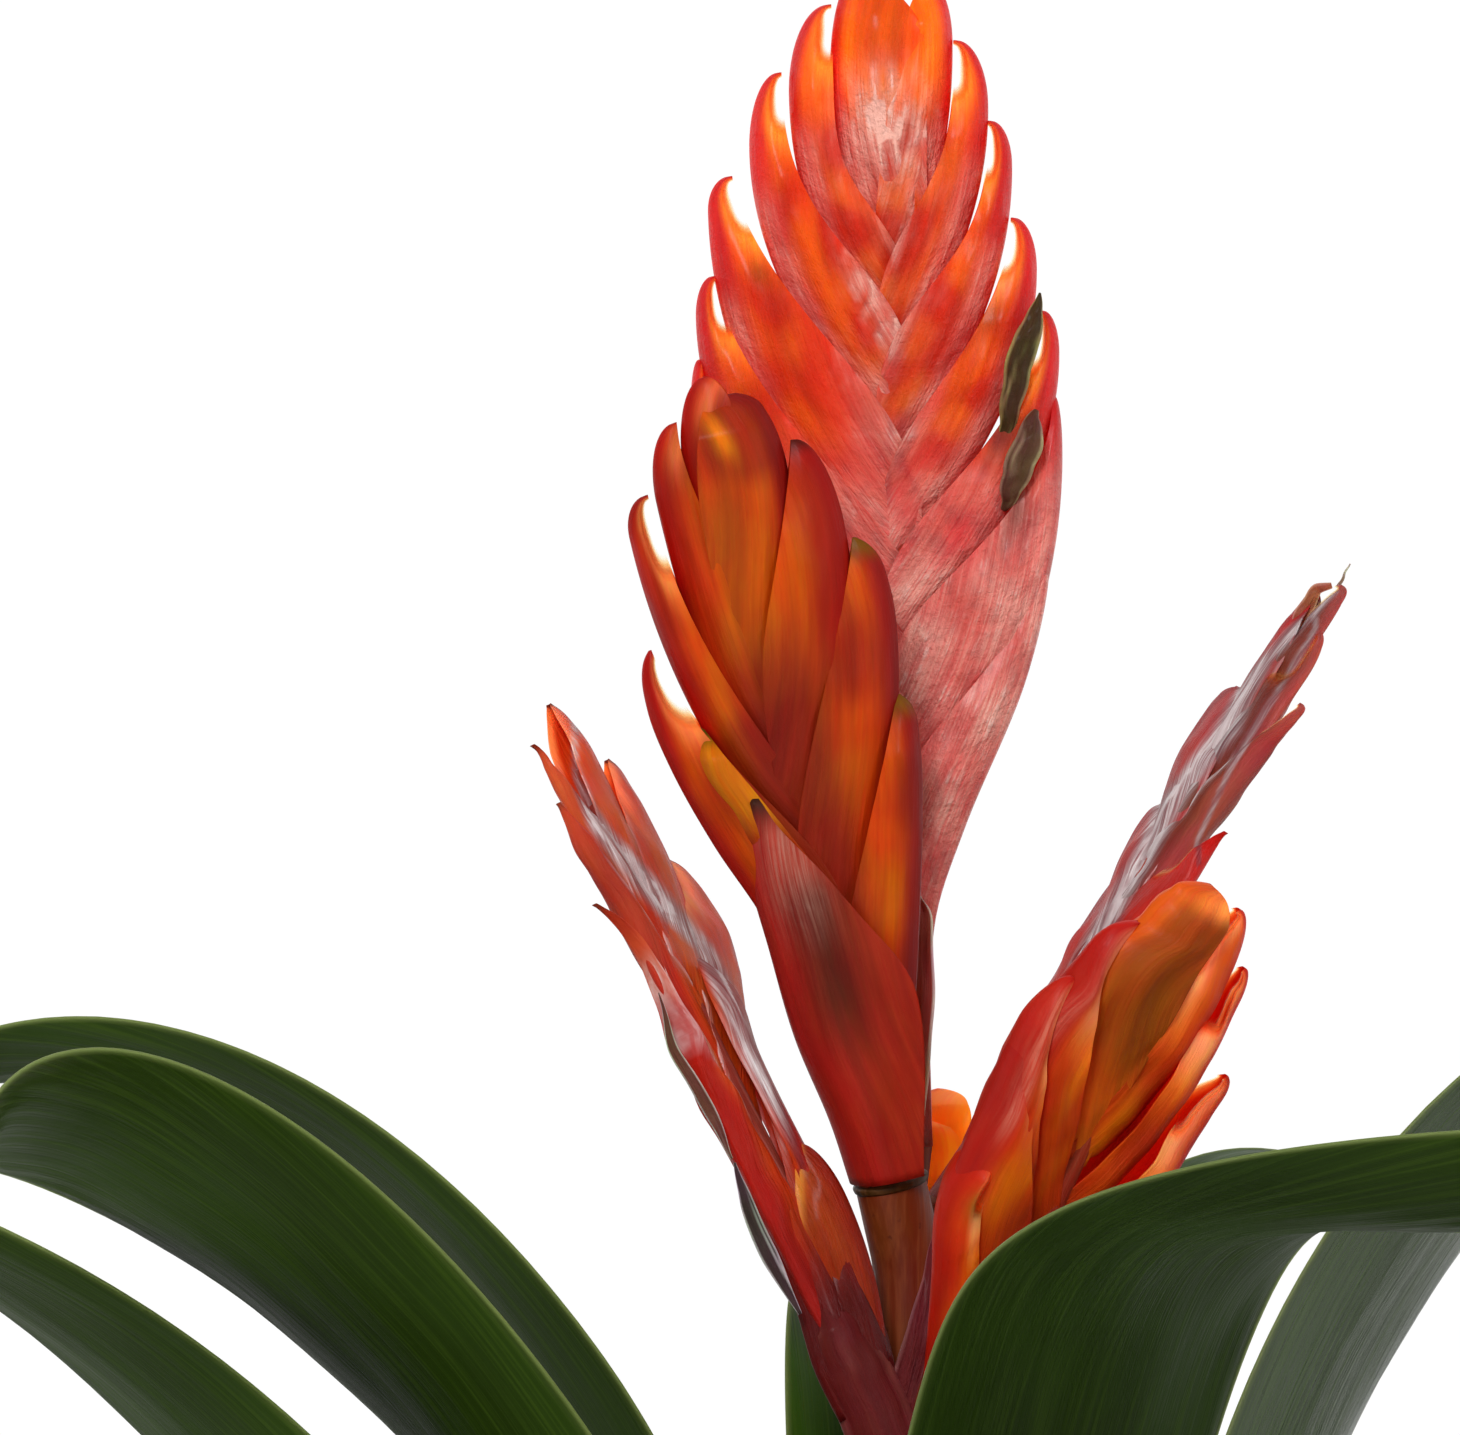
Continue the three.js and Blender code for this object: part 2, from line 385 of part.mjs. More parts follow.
// main stem, with a branch from each of these heights up to the foot of a spike, straight for its last stretch
const FORK = {
  spike_main: 205, spike_front: 185, spike_left: 160,
  spike_right_lower: 165, spike_right_upper: 190, spike_back: 180,
};
const STRAIGHT = 14;
const arms = Object.entries(FORK).map(([name, z]) => {
  const s = SPIKES[name], knee = sub(s.base, mul(s.frame().a, STRAIGHT));
  const middle = [knee[0] / 2, knee[1] / 2, (z + knee[2]) / 2];
  return rod([
    [0, 0, z, Math.min(s.neck, 4.6)], [...middle, s.neck * 0.95], [...knee, s.neck], [...s.base, s.neck],
  ], 12);
});
const stem = rod([[0, 0, 42.4, 6.2], [0, 0, 120, 6], [0, 2, 185, 5.8], [0, 5, 210, 5]], 14);
put("scape", fuse([stem, ...arms], 0.1), 0x6e2318, 0.5);

// ---------------------------------------------------------------- clearance: no two pieces share space
const names = Object.keys(made);
const clash = [];
for (let i = 0; i < names.length; i++) for (let j = i + 1; j < names.length; j++) {
  const v = made[names[i]].intersect(made[names[j]]).volume();
  if (v > 0.005) clash.push(`${names[i]} ${names[j]} ${v.toFixed(2)}`);
}
if (clash.length) console.log("overlap mm3: " + clash.join("; "));

export default group;
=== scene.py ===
import math
from collections import namedtuple
from types import SimpleNamespace

import bpy
import numpy as np
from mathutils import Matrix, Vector


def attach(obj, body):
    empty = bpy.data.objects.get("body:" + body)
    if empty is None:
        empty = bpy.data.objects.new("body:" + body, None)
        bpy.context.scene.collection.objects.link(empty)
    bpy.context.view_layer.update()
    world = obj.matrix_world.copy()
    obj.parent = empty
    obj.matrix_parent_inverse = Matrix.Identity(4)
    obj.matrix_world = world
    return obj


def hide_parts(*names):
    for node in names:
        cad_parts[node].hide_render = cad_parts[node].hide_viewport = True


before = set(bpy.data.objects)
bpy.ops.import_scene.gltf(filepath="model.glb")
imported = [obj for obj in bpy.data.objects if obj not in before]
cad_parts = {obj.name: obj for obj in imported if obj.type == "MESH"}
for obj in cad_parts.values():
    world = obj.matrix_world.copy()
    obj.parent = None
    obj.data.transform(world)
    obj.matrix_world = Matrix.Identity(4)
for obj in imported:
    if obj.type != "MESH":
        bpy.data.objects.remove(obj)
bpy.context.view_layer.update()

# Lengths below are millimetres, as in the CAD, apart from the studio, which is in metres.
MM = 0.001


# ------------ numbers
def smooth(x):
    """0 below 0, 1 above 1 and an S-curve between."""
    c = np.clip(x, 0, 1)
    return c * c * (3 - 2 * c)


def ramp(x, zero, one):
    """An S-curve from 0 where x is zero to 1 where it is one. It falls where one is the smaller."""
    return smooth((x - zero) / (one - zero))


def hump(x, middle, wide):
    """1 at the middle, fading away to both sides."""
    return np.exp(-(((x - middle) / wide) ** 2))


def cubic(c, t):
    """Bezier curve with the four controls c."""
    s = 1 - t
    return c[0] * s**3 + 3 * c[1] * s * s * t + 3 * c[2] * s * t * t + c[3] * t**3


def unit(v):
    v = np.asarray(v, float)
    return v / np.linalg.norm(v, axis=-1, keepdims=True)


def mix(a, b, f):
    """Blend of two colours, or of two lists of them, by a factor per point."""
    f = np.asarray(f, float)[..., None]
    return np.asarray(a, float) * (1 - f) + np.asarray(b, float) * f


def rgb(*color):
    """Linear colour of an 8-bit sRGB colour."""
    return tuple(((c / 255 + 0.055) / 1.055) ** 2.4 if c > 10 else c / 255 / 12.92 for c in color)


def waves(seed, x, y, scale, n=5):
    """A smooth, seeded, wandering field from about -1 to 1, with swells about scale across."""
    draw = np.random.default_rng(seed)
    out = 0
    for _ in range(n):
        turn = draw.uniform(0, math.tau)
        pace = draw.uniform(0.6, 1.7) * math.tau / scale
        start = draw.uniform(0, math.tau)
        out = out + np.sin((x * math.cos(turn) + y * math.sin(turn)) * pace + start)
    return out / n**0.5 / 1.4


# ------------ meshes
def circle(n):
    """n even angles of a turn."""
    return np.linspace(0, math.tau, n + 1)[:-1]


def around(front, back=None):
    """Values round a closed sheet: over its front, then back again over its other face."""
    back = front if back is None else back
    return np.concatenate([front, back[:, ::-1]], 1)


def spread(path, count, passes):
    """count points along the rows of a path, smoothed, and the row number at each."""
    path = np.asarray(path, float)
    rows = np.linspace(0, len(path) - 1, count)
    p = np.stack([np.interp(rows, np.arange(len(path)), column) for column in path.T], -1)
    for _ in range(passes):
        p[1:-1] = (p[:-2] + 2 * p[1:-1] + p[2:]) / 4
    return p, rows


def sideways(p):
    """Unit vectors across a path, one nearly level and one square to it."""
    ahead = unit(np.gradient(p[:, :3], axis=0))
    level = unit(np.cross([0, -1.0, 0], ahead))
    return level, np.cross(ahead, level)


class Sheets:
    """Collects closed thin sheets, each a grid of rings, into one mesh with attributes on its points."""

    def __init__(self):
        self.points, self.faces, self.count = [], [], 0
        self.attributes = {}

    def rings(self, grid, caps, **attributes):
        """grid is (rows, ring, 3). A flat cap joins the halves of an end ring, a fan has a centre point."""
        m, n, _ = grid.shape
        base = self.count
        i, j = np.meshgrid(np.arange(m - 1), np.arange(n), indexing="ij")
        a, b = i * n + j, i * n + (j + 1) % n
        self.faces.append(np.stack([a, b, b + n, a + n], -1).reshape(-1, 4) + base)
        points = [grid.reshape(-1, 3)]
        extra = {k: [v.reshape(m * n, -1)] for k, v in attributes.items()}
        for row, last in ((0, False), (m - 1, True)):
            start = base + row * n
            if caps == "flat":
                k = np.arange(n // 2 - 1)
                faces = start + np.stack([k, n - 1 - k, n - 2 - k, k + 1], -1)
                turned = faces[:, ::-1]
            else:
                k = np.arange(n)
                middle = np.full(n, base + sum(len(p) for p in points))
                faces = np.stack([start + (k + 1) % n, start + k, middle, middle], -1)
                turned = faces[:, [1, 0, 2, 3]]
                points.append(grid[row].mean(0, keepdims=True))
                for name, v in attributes.items():
                    extra[name].append(v[row].reshape(n, -1).mean(0, keepdims=True))
            self.faces.append(turned if last else faces)
        self.points += points
        self.count += sum(len(p) for p in points)
        for name, v in extra.items():
            self.attributes.setdefault(name, []).append(np.concatenate(v))

    def put(self, name, material, slot, *nodes):
        """Makes the mesh. It rides on the root body and stands for the solids named in nodes."""
        faces = [f[:3] if f[2] == f[3] else f for f in np.concatenate(self.faces).tolist()]
        mesh = bpy.data.meshes.new(name)
        mesh.from_pydata((np.concatenate(self.points) * MM).tolist(), [], faces)
        for key, parts in self.attributes.items():
            values = np.concatenate(parts).astype(np.float32)
            kind, field = {1: ("FLOAT", "value"), 3: ("FLOAT_VECTOR", "vector")}[values.shape[1]]
            mesh.attributes.new(key, kind, "POINT").data.foreach_set(field, values.ravel())
        mesh.materials.append(material)
        mesh.shade_smooth()
        obj = bpy.data.objects.new(name, mesh)
        bpy.context.scene.collection.objects.link(obj)
        if sum(p.area * p.normal.dot(p.center) for p in mesh.polygons) < 0:
            mesh.flip_normals()
        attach(obj, "root")
        if nodes:
            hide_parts(*nodes)


# ------------ materials
class Nodes:
    """Short calls for the node tree of a material or world, which set a value or link a socket."""

    def __init__(self, owner):
        owner.use_nodes = True
        self.owner, self.tree = owner, owner.node_tree
        self.tree.nodes.clear()

    def set(self, socket, value):
        if isinstance(value, bpy.types.NodeSocket):
            self.tree.links.new(value, socket)
        elif value is not None:
            if socket.type == "RGBA" and len(value) == 3:
                value = (*value, 1)
            socket.default_value = value

    def node(self, kind, *values, out=0, **settings):
        """A setting with a capital is an input, its spaces written as _. The others are the node's own."""
        n = self.tree.nodes.new("ShaderNode" + kind)
        for key, value in settings.items():
            if key[0].islower():
                setattr(n, key, value)
        for socket, value in zip(n.inputs, values):
            self.set(socket, value)
        for key, value in settings.items():
            if key[0].isupper():
                self.set(n.inputs[key.replace("_", " ")], value)
        return n.outputs[out]

    def math(self, operation, *values):
        return self.node("Math", *values, operation=operation)

    def mul(self, *values):
        out = values[0]
        for v in values[1:]:
            out = self.math("MULTIPLY", out, v)
        return out

    def step(self, x, low, high, a=0.0, b=1.0):
        return self.node("MapRange", x, low, high, a, b, interpolation_type="SMOOTHSTEP")

    def blend(self, f, a, b, how="MIX"):
        n = self.tree.nodes.new("ShaderNodeMix")
        n.data_type, n.blend_type = "RGBA", how
        for number, value in ((0, f), (6, a), (7, b)):
            self.set(n.inputs[number], value)
        return n.outputs[2]

    def attribute(self, name, out="Fac"):
        return self.node("Attribute", out=out, attribute_name=name)

    def noise(self, place, density, detail=3.0, rough=0.55):
        """Noise with its own density along each axis of place."""
        place = self.node("VectorMath", place, density, operation="MULTIPLY")
        return self.node("TexNoise", Vector=place, Scale=1.0, Detail=detail, Roughness=rough)

    def bump(self, height, strength, distance):
        return self.node("Bump", Height=height, Strength=strength, Distance=distance * MM)

    def finish(self, shader, kind="OutputMaterial"):
        out = self.tree.nodes.new("ShaderNode" + kind)
        self.set(out.inputs["Surface"], shader)
        return self.owner


def material(name):
    return Nodes(bpy.data.materials.new(name))


def principled(m, color, roughness, normal, **constants):
    return m.node("BsdfPrincipled", Base_Color=color, Roughness=roughness, Normal=normal, **constants)


def bract_material(name, bloom_sheen_color, rough, vein, translucent, wrinkle, coat, gloss, lined=0.75):
    """Fleshy folded bract. Points carry tint (its colour), grain (mm across and along, number of the bract),
    sheen (waxy bloom, with painted highlights and reflections), clear (how thin and glassy the margin is)."""
    m = material(name)
    grain = m.attribute("grain", "Vector")
    tint, sheen, clear = m.attribute("tint", "Color"), m.attribute("sheen"), m.attribute("clear")
    # fine lengthwise veins, softer streaks between them, and shallow crosswise wrinkles
    veins = m.noise(grain, (2.3, 0.06, 1), 4, 0.65)
    streak = m.noise(grain, (0.5, 0.03, 1))
    cells = m.noise(grain, (3.4, 2.2, 1), 2, 0.6)
    creases = m.noise(grain, (0.5, 0.32, 1), 4, 0.6)
    blotch = m.noise(grain, (0.16, 0.07, 1), 3, 0.6)
    line = m.step(veins, 0.38, 0.62)
    shade = m.step(streak, 0.3, 0.72, 0.8, 1.16)
    green = m.mul(shade, m.step(blotch, 0.3, 0.7, 0.78, 1.28), m.step(veins, 0.3, 0.7, 0.86, 1.16))
    color = m.blend(1.0, tint, m.node("CombineColor", shade, green, shade), "MULTIPLY")
    # the waxy bloom and the painted sheen lie in lines between the veins, and solid where they are thickest
    lines = m.math("ADD", m.mul(line, lined), 1 - lined)
    lines = m.mul(lines, m.step(streak, 0.36, 0.6, 1 - 0.75 * lined, 1.0))
    solid = m.step(sheen, 0.8, 1.1)
    bloom_and_sheen = m.mul(sheen, m.step(blotch, 0.26, 0.6, 0.6, 1.0), m.math("MAXIMUM", lines, solid))
    bloom_and_sheen = m.math("MINIMUM", bloom_and_sheen, 1.0)
    color = m.blend(bloom_and_sheen, color, bloom_sheen_color)
    # painted glints: a whitish highlight along the creases where the sheen is
    painted_glint = m.mul(sheen, m.step(creases, 0.5, 0.7), m.step(veins, 0.36, 0.66), 0.6 * wrinkle)
    color = m.blend(painted_glint, color, (1.0, 0.78, 0.7))
    folds = m.mul(creases, m.math("ADD", m.mul(sheen, 3.0 * wrinkle), 1.6 * wrinkle))
    height = m.math("ADD", m.mul(veins, vein), m.math("ADD", folds, m.mul(cells, 0.5 * wrinkle)))
    normal = m.bump(height, 0.8, 0.6)
    uneven = m.step(veins, 0.3, 0.7, rough - 0.06, rough + 0.1)
    body = principled(
        m, color, uneven, normal, Specular_IOR_Level=gloss, Coat_Weight=coat, Coat_Roughness=0.22)
    # the sheet glows when light comes from behind it, most of all at its thin margin
    glow = m.blend(1.0, tint, (1.8, 1.5, 1.0), "MULTIPLY")
    glow = m.blend(m.step(clear, 0.1, 0.6), glow, (1.3, 1.15, 0.7))
    passed = m.math("MULTIPLY_ADD", bloom_and_sheen, -0.85 * translucent, translucent)
    passed = m.math("ADD", m.step(clear, 0.02, 0.5, 0.0, 0.6), passed)
    body = m.node("MixShader", passed, body, m.node("BsdfTranslucent", glow, normal))
    gap = m.node("BsdfTransparent", m.blend(m.step(clear, 0.3, 0.85), (1.0, 0.9, 0.62), (1, 1, 1)))
    return m.finish(m.node("MixShader", m.step(clear, 0.12, 0.85), body, gap))


def leaf_material(name, gloss, rough):
    """Dark, leathery strap leaf with a paler rim, partly its own colour and partly a painted highlight where
    light comes through the thin edge. Points carry grain (mm across and along, number of the leaf), rim,
    under (1 on the lower face) and tone (how bright the leaf is)."""
    m = material(name)
    grain = m.attribute("grain", "Vector")
    rim, under, tone = m.attribute("rim"), m.attribute("under"), m.attribute("tone")
    veins = m.noise(grain, (1.5, 0.012, 1), 3, 0.6)
    fine = m.noise(grain, (5.0, 0.03, 1), 2, 0.5)
    cross = m.noise(grain, (0.5, 1.4, 1), 2, 0.5)
    cloud = m.noise(grain, (0.05, 0.018, 1), 3, 0.5)
    color = m.blend(m.step(cloud, 0.3, 0.7), rgb(26, 46, 1), rgb(52, 86, 6))
    color = m.blend(m.mul(under, 0.8), color, rgb(40, 58, 12))
    color = m.blend(m.mul(m.step(veins, 0.45, 0.7), 0.3), color, rgb(78, 104, 30))
    color = m.blend(m.mul(m.step(cross, 0.6, 0.75), 0.12), color, rgb(30, 44, 14))
    # paler rim: partly the leaf's own colour, partly a painted highlight of light through the thin edge
    color = m.blend(m.mul(rim, 0.6), color, rgb(120, 134, 70))
    color = m.blend(1.0, color, m.node("CombineColor", tone, tone, tone), "MULTIPLY")
    height = m.math("ADD", veins, m.math("ADD", m.mul(fine, 0.5), m.mul(cross, 0.15)))
    normal = m.bump(height, 0.4, 0.35)
    uneven = m.step(veins, 0.3, 0.7, rough - 0.07, rough + 0.07)
    body = principled(m, color, uneven, normal, Specular_IOR_Level=gloss)
    glow = m.blend(rim, m.blend(1.0, color, (1.5, 1.9, 0.7), "MULTIPLY"), (0.9, 1.0, 0.6))
    back = m.node("BsdfTranslucent", glow, normal)
    return m.finish(m.node("MixShader", m.math("ADD", m.mul(rim, 0.3), 0.14), body, back))


def stem_material(name, low, high, rough=0.5):
    """Smooth fleshy stem with faint lengthwise streaks and old scar specks."""
    m = material(name)
    place = m.node("TexCoord", out="Object")
    streak = m.noise(place, (900, 900, 60))
    cloud = m.noise(place, (70, 70, 30))
    speck = m.noise(place, (500, 500, 420), 2, 0.5)
    color = m.blend(m.step(cloud, 0.35, 0.65), low, high)
    pale, dark = tuple(min(1, c * 1.9 + 0.01) for c in high), tuple(c * 0.3 for c in low)
    color = m.blend(m.mul(m.step(streak, 0.4, 0.7), 0.35), color, pale)
    color = m.blend(m.mul(m.step(speck, 0.66, 0.74), 0.5), color, dark)
    normal = m.bump(m.math("ADD", streak, m.mul(speck, 0.5)), 0.35, 0.4)
    uneven = m.step(streak, 0.3, 0.7, rough - 0.08, rough + 0.1)
    return m.finish(principled(m, color, uneven, normal, Specular_IOR_Level=0.2))


# ------------ leaves
THICK = 0.9
GLOSSY_LEAF = 6  # the one whose face mirrors the bright wall behind the plant
FIRST_SETTLED = 11  # from this leaf on they rest on the surface, and sway less


# order counts out from the middle, elev, azim and roll are degrees at four controls from foot to tip, channel
# is how far the edges are raised, and tone how bright the leaf is
Leaf = namedtuple("Leaf", "order elev azim roll length width channel tone", defaults=[1.0])


def same(degrees):
    """All four controls alike."""
    return [degrees] * 4


def leaf_surface(s, t, u):
    """Points of a strap leaf, and half its width. t runs from foot to tip, u from -1 to 1 across it."""
    n = 60
    slope = np.radians(cubic(s.elev, np.arange(n + 1) / n))
    foot_radius, foot_height = 9.5 + 1.5 * s.order, 40 - 2.5 * s.order

    def run(foot, part):
        """Adds up the steps of the leaf's line, and reads the line at t."""
        steps = np.cumsum((part[1:] + part[:-1]) / 2 * (s.length / n))
        return np.interp(t * n, np.arange(n + 1), foot + np.concatenate([[0], steps]))

    radius, height = run(foot_radius, np.cos(slope)), run(foot_height, np.sin(slope))
    rise, heading, roll = (np.radians(cubic(c, t)) + 0 * u for c in (s.elev, s.azim, s.roll))
    foot = min(1.35 * foot_radius, s.width / 2)
    taper = 1 - np.maximum((t - 0.5) / 0.5, 0) ** 2.4 * 0.97
    half = (foot + (s.width / 2 - foot) * smooth(t / 0.4)) * taper
    wrap = u * np.minimum(half / radius, 1.45)
    out = np.stack([np.cos(heading), np.sin(heading), 0 * heading], -1)
    side = np.stack([-np.sin(heading), np.cos(heading), 0 * heading], -1)
    up = np.array([0.0, 0, 1])
    climb, ahead = np.sin(rise)[..., None], np.cos(rise)[..., None]
    normal, along = -climb * out + ahead * up, ahead * out + climb * up
    lift = s.channel * ramp(t, 0.2, 0.52) * (1 - 0.6 * t) * np.abs(u) ** 1.8
    v = side * (radius * np.sin(wrap))[..., None] - out * (radius * (1 - np.cos(wrap)))[..., None]
    v = v + normal * lift[..., None]
    # the section is rolled about the line of the leaf
    keep, swing = np.cos(roll)[..., None], np.sin(roll)[..., None]
    v = v * keep + np.cross(along, v) * swing + along * (along * v).sum(-1, keepdims=True) * (1 - keep)
    return out * radius[..., None] + up * height[..., None] + v, half


def leaf_normal(s, t, u):
    e = 0.001  # a small step
    dt = leaf_surface(s, np.minimum(t + e, 1), u)[0] - leaf_surface(s, np.maximum(t - e, 0), u)[0]
    du = leaf_surface(s, t, np.minimum(u + e, 1))[0] - leaf_surface(s, t, np.maximum(u - e, -1))[0]
    return unit(np.cross(dt, du))


def settle(s):
    """Bows an outer leaf over until it just touches the surface. The rows and columns are the CAD's."""
    t = np.array([0, 0.07, 0.16, 0.26, 0.36, 0.45, 0.54, 0.63, 0.72, 0.81, 0.89, 0.955, 1])[:, None]
    u = np.array([-1, -0.5, 0, 0.5, 1])[None, :]
    low, high = -120.0, 20.0
    for _ in range(40):
        s.elev[3] = (low + high) / 2
        p, n = leaf_surface(s, t, u)[0], leaf_normal(s, t, u) * THICK / 2
        if min((p + n)[..., 2].min(), (p - n)[..., 2].min()) < 0:
            low = s.elev[3]
        else:
            high = s.elev[3]
    s.elev[3] = high + 0.3
    return s


LEAVES = [
    Leaf(0, [89.5, 91, 84, -60], same(94), same(0), 250, 36, 4),
    Leaf(1, [88, 86.5, 66, -30], same(55), same(0), 280, 30, 4),
    Leaf(2, [86.4, 82.4, 38.2, -25.3], [172, 162.8, 152.7, 149], [0, -2.6, 61.4, 5.1], 339.9, 51.5, 8.4),
    Leaf(3, [86, 70.6, -22.4, 17.4], [-73, -60.5, -97, -69.2], [0, -11.8, 60, -61.4], 420, 54, 3.1, 0.7),
    Leaf(4, [81, 76.5, 29, -14.8], [-150, -167, -144.1, -121.6], [0, 10, -8, 58], 365, 54, 6.1),
    Leaf(5, [68.8, 83.1, 90, -81.4], [-8, -23.5, -29.3, -25], [0, -2.3, -13, -24], 378.4, 45.2, 1.7, 0.85),
    Leaf(6, [68.2, 64.4, 45.2, -26.2], [-156.3, -153.9, -156, -161.9], [0, 24.1, 12, -12], 384.3, 47.4, 4.5),
    Leaf(7, [66, 63, 8, -60], same(100), same(0), 350, 47, 5),
    Leaf(8, [62, 58, 2, -60], same(134), [0, 0, 5, 5], 345, 47, 5),
    Leaf(9, [62, 56, -5, -60], same(14), [0, 0, -5, -8], 340, 46, 5),
    settle(Leaf(10, [58, 47, -30, -60], same(-104), [0, 0, 5, 5], 320, 46, 5)),
    settle(Leaf(11, [56, 46, -24, -60], same(158), same(0), 315, 45, 5)),
    settle(Leaf(12, [54, 44, -24, -60], same(42), same(0), 310, 44, 5)),
    settle(Leaf(13, [50, 40, -26, -60], same(-46), same(0), 300, 43, 5)),
]


def make_leaf(number, s, skin):
    t = (np.linspace(0, 1, 150) ** 0.97)[:, None]
    u = np.sin(np.linspace(-1, 1, 27) * math.pi / 2)[None, :]
    p, half = leaf_surface(s, t, u)
    n = leaf_normal(s, t, u)
    edge = (1 - np.abs(u)) * half  # mm from the rim
    zero = 0 * edge
    thick = THICK / 2 * (0.3 + 0.7 * smooth(edge / 3))
    # faint lengthwise pleats and long swells
    across, along = u * half, t * s.length + zero
    swell = waves(number, across * 0.4, along * 0.22, 14) * smooth(t / 0.2)
    sway = 0.18 * np.sin(across * 1.35 + number) + 0.55 * swell
    sway = sway * smooth(edge / 5 + 0.15) * ramp(t, 0.02, 0.12) * ramp(t, 1, 0.92)
    if number >= FIRST_SETTLED:
        sway = sway * 0.4
    top, low = p + n * (thick + sway)[..., None], p - n * (thick - sway)[..., None]
    sheets = Sheets()
    sheets.rings(
        around(top, low), "flat",
        grain=np.stack([around(across), around(along), around(zero + 31.0 * number)], -1),
        rim=around(1 - smooth(edge / 1.1)), under=around(zero, zero + 1), tone=around(zero + s.tone))
    sheets.put(f"strap_{number:02d}", skin, "leaf", f"leaf_{number:02d}")


dull, shiny = leaf_material("strap_leaf", 0.05, 0.42), leaf_material("strap_leaf_glossy", 0.7, 0.2)
for number, s in enumerate(LEAVES, 1):
    make_leaf(number, s, shiny if number == GLOSSY_LEAF else dull)


# ------------ flower spikes
# Bract: side, tip height, tip reach, length, swell of the keel past the tip, extras. Heights run up the spike
# from its foot, reaches out from its middle line. Extras: peak is how far below the tip the keel reaches
# furthest, slim how soon it draws in below that, cross and bow how far down and how roundly the margin runs
# across, wrap how far past the middle it ends. keel or margin give [below the tip, reach] instead. thin, foot
# and blunt set the thickness, turn twists the bract about the spike's line.
MAIN = [
    [-1, 96, 28, 84, 0, dict(keel=[[0, 28], [6, 28.6], [30, 22], [54, 10], [72, 4], [84, 2.4]], cross=40,
        bow=1.6, wrap=2.2)],
    [1, 99.1, 23.8, 99, 0, dict(keel=[[0, 23.8], [5, 24.2], [23, 20.2], [48, 9.4], [62, 4.6], [99, 3.2]],
        cross=38, bow=1.8)],
    [-1, 113.2, 31.5, 52, 1, dict(peak=7, slim=0.7, cross=43, bow=1.65, wrap=5)],
    [1, 121.5, 25.5, 67, 1.1, dict(slim=0.78, cross=37.5, bow=2, wrap=5)],
    [-1, 128.5, 32.3, 61, 1.4, dict(slim=0.94, cross=45, bow=1.7, wrap=6)],
    [1, 135.4, 23.9, 59, 2.5, dict(peak=6.5, slim=1.4, cross=39, bow=1.9, wrap=5.4)],
    [-1, 142, 29.8, 61, 2.8, dict(peak=6.5, slim=0.98, cross=49, bow=1.6, wrap=7)],
    [1, 150.6, 19.4, 57, 3.6, dict(slim=1.38, cross=39, bow=1.8, wrap=5)],
    [-1, 158.2, 26.7, 64, 3.6, dict(peak=5.5, slim=0.84, cross=43, bow=1.55, wrap=4.6)],
    [1, 166.4, 16, 55, 3.3, dict(peak=7, slim=1.18, cross=34.5, bow=2.6, wrap=4.7)],
    [-1, 174.9, 18.4, 61, 5, dict(peak=12.5, slim=1.13, cross=38.5, bow=2.7, wrap=4.2)],
    [1, 179.6, 10.6, 55, 5, dict(peak=10.5, slim=1.38, cross=35, bow=2.9, wrap=4.4)],
    [-1, 185.8, 10.1, 50, 6.7, dict(peak=14.5, slim=0.64, cross=35, bow=7, wrap=4.2)],
    [1, 188.7, 6.9, 45, 3.1, dict(peak=9, cross=46, bow=0.46, wrap=4.2, blunt=0.15)],
    [-1, 190.2, 5.6, 44, 4.4, dict(peak=15.7, slim=0.78, cross=9, bow=0.5, wrap=5.4, blunt=0.15)],
]
FRONT = [
    [-1, 67.6, 8.5, 67, 0, dict(keel=[[0, 8.5], [4, 10.3], [12, 11.4], [27, 10.8], [42, 9.9], [57, 7.3],
        [67, 6.4]], margin=[[0, 8], [7, 4.9], [15, 0], [24, -4.8], [33, -9.6], [38, -10.7], [67, -5.5]],
        thin=1.42, foot=5.8, blunt=0.03)],
    [1, 76.5, 18.5, 76, 0, dict(keel=[[0, 18.5], [2, 20], [9, 20], [21, 17.7], [43, 12.1], [60, 7.5],
        [76, 5.8]], cross=51, bow=1, wrap=6, thin=1.08, blunt=0.12)],
    [-1, 78.1, 13.7, 44, 0, dict(keel=[[0, 13.7], [1.4, 15], [6.4, 15.7], [14, 13.2], [29, 9.2], [44, 6]],
        bow=0.95, wrap=4.7, thin=1.3, blunt=0.1)],
    [-1, 92.1, 19, 72, 0, dict(keel=[[0, 19], [2, 20.4], [9, 21.3], [19, 19.8], [33, 15.7], [46, 10.7],
        [72, 4.6]], cross=41, wrap=4.5, thin=0.9)],
    [1, 102.6, 17.1, 74, 0, dict(keel=[[0, 17.1], [2.4, 19.5], [9, 20.8], [18, 20.1], [34, 16.3], [49, 10.9],
        [74, 4.8]], cross=46, bow=1.1, wrap=5)],
    [-1, 116.5, 14.1, 63, 3.9, dict(peak=6, slim=0.87, cross=60, bow=1.9, wrap=6)],
    [1, 120, 10.9, 64, 5, dict(peak=14, slim=1.3, bow=1.15)],
    [-1, 126.8, 7.1, 59, 5.5, dict(peak=12, slim=0.45, margin=[[0, 6.6], [4, 6.9], [10, 6.4], [20, 4.4],
        [40, 0], [59, -2]], thin=0.84)],
    [1, 129.3, 3.6, 56, 0, dict(keel=[[0, 3.6], [1.3, 6.1], [4, 7.7], [11, 9], [21, 8.1], [33, 5.2],
        [45, 2.8], [56, 2.5]], margin=[[0, 2.4], [0.5, -0.6], [2, -2.5], [5, -3.8], [11, -5.3], [22, -6.4],
        [56, -5]], blunt=0.1)],
    [-1, 132.9, 0.9, 53, 6.6, dict(peak=18, slim=0.6, margin=[[0, 0.3], [2, -1.6], [5, -2.5], [14, -1.4],
        [28, 0], [53, -0.7]], thin=0.7, blunt=0.2)],
]
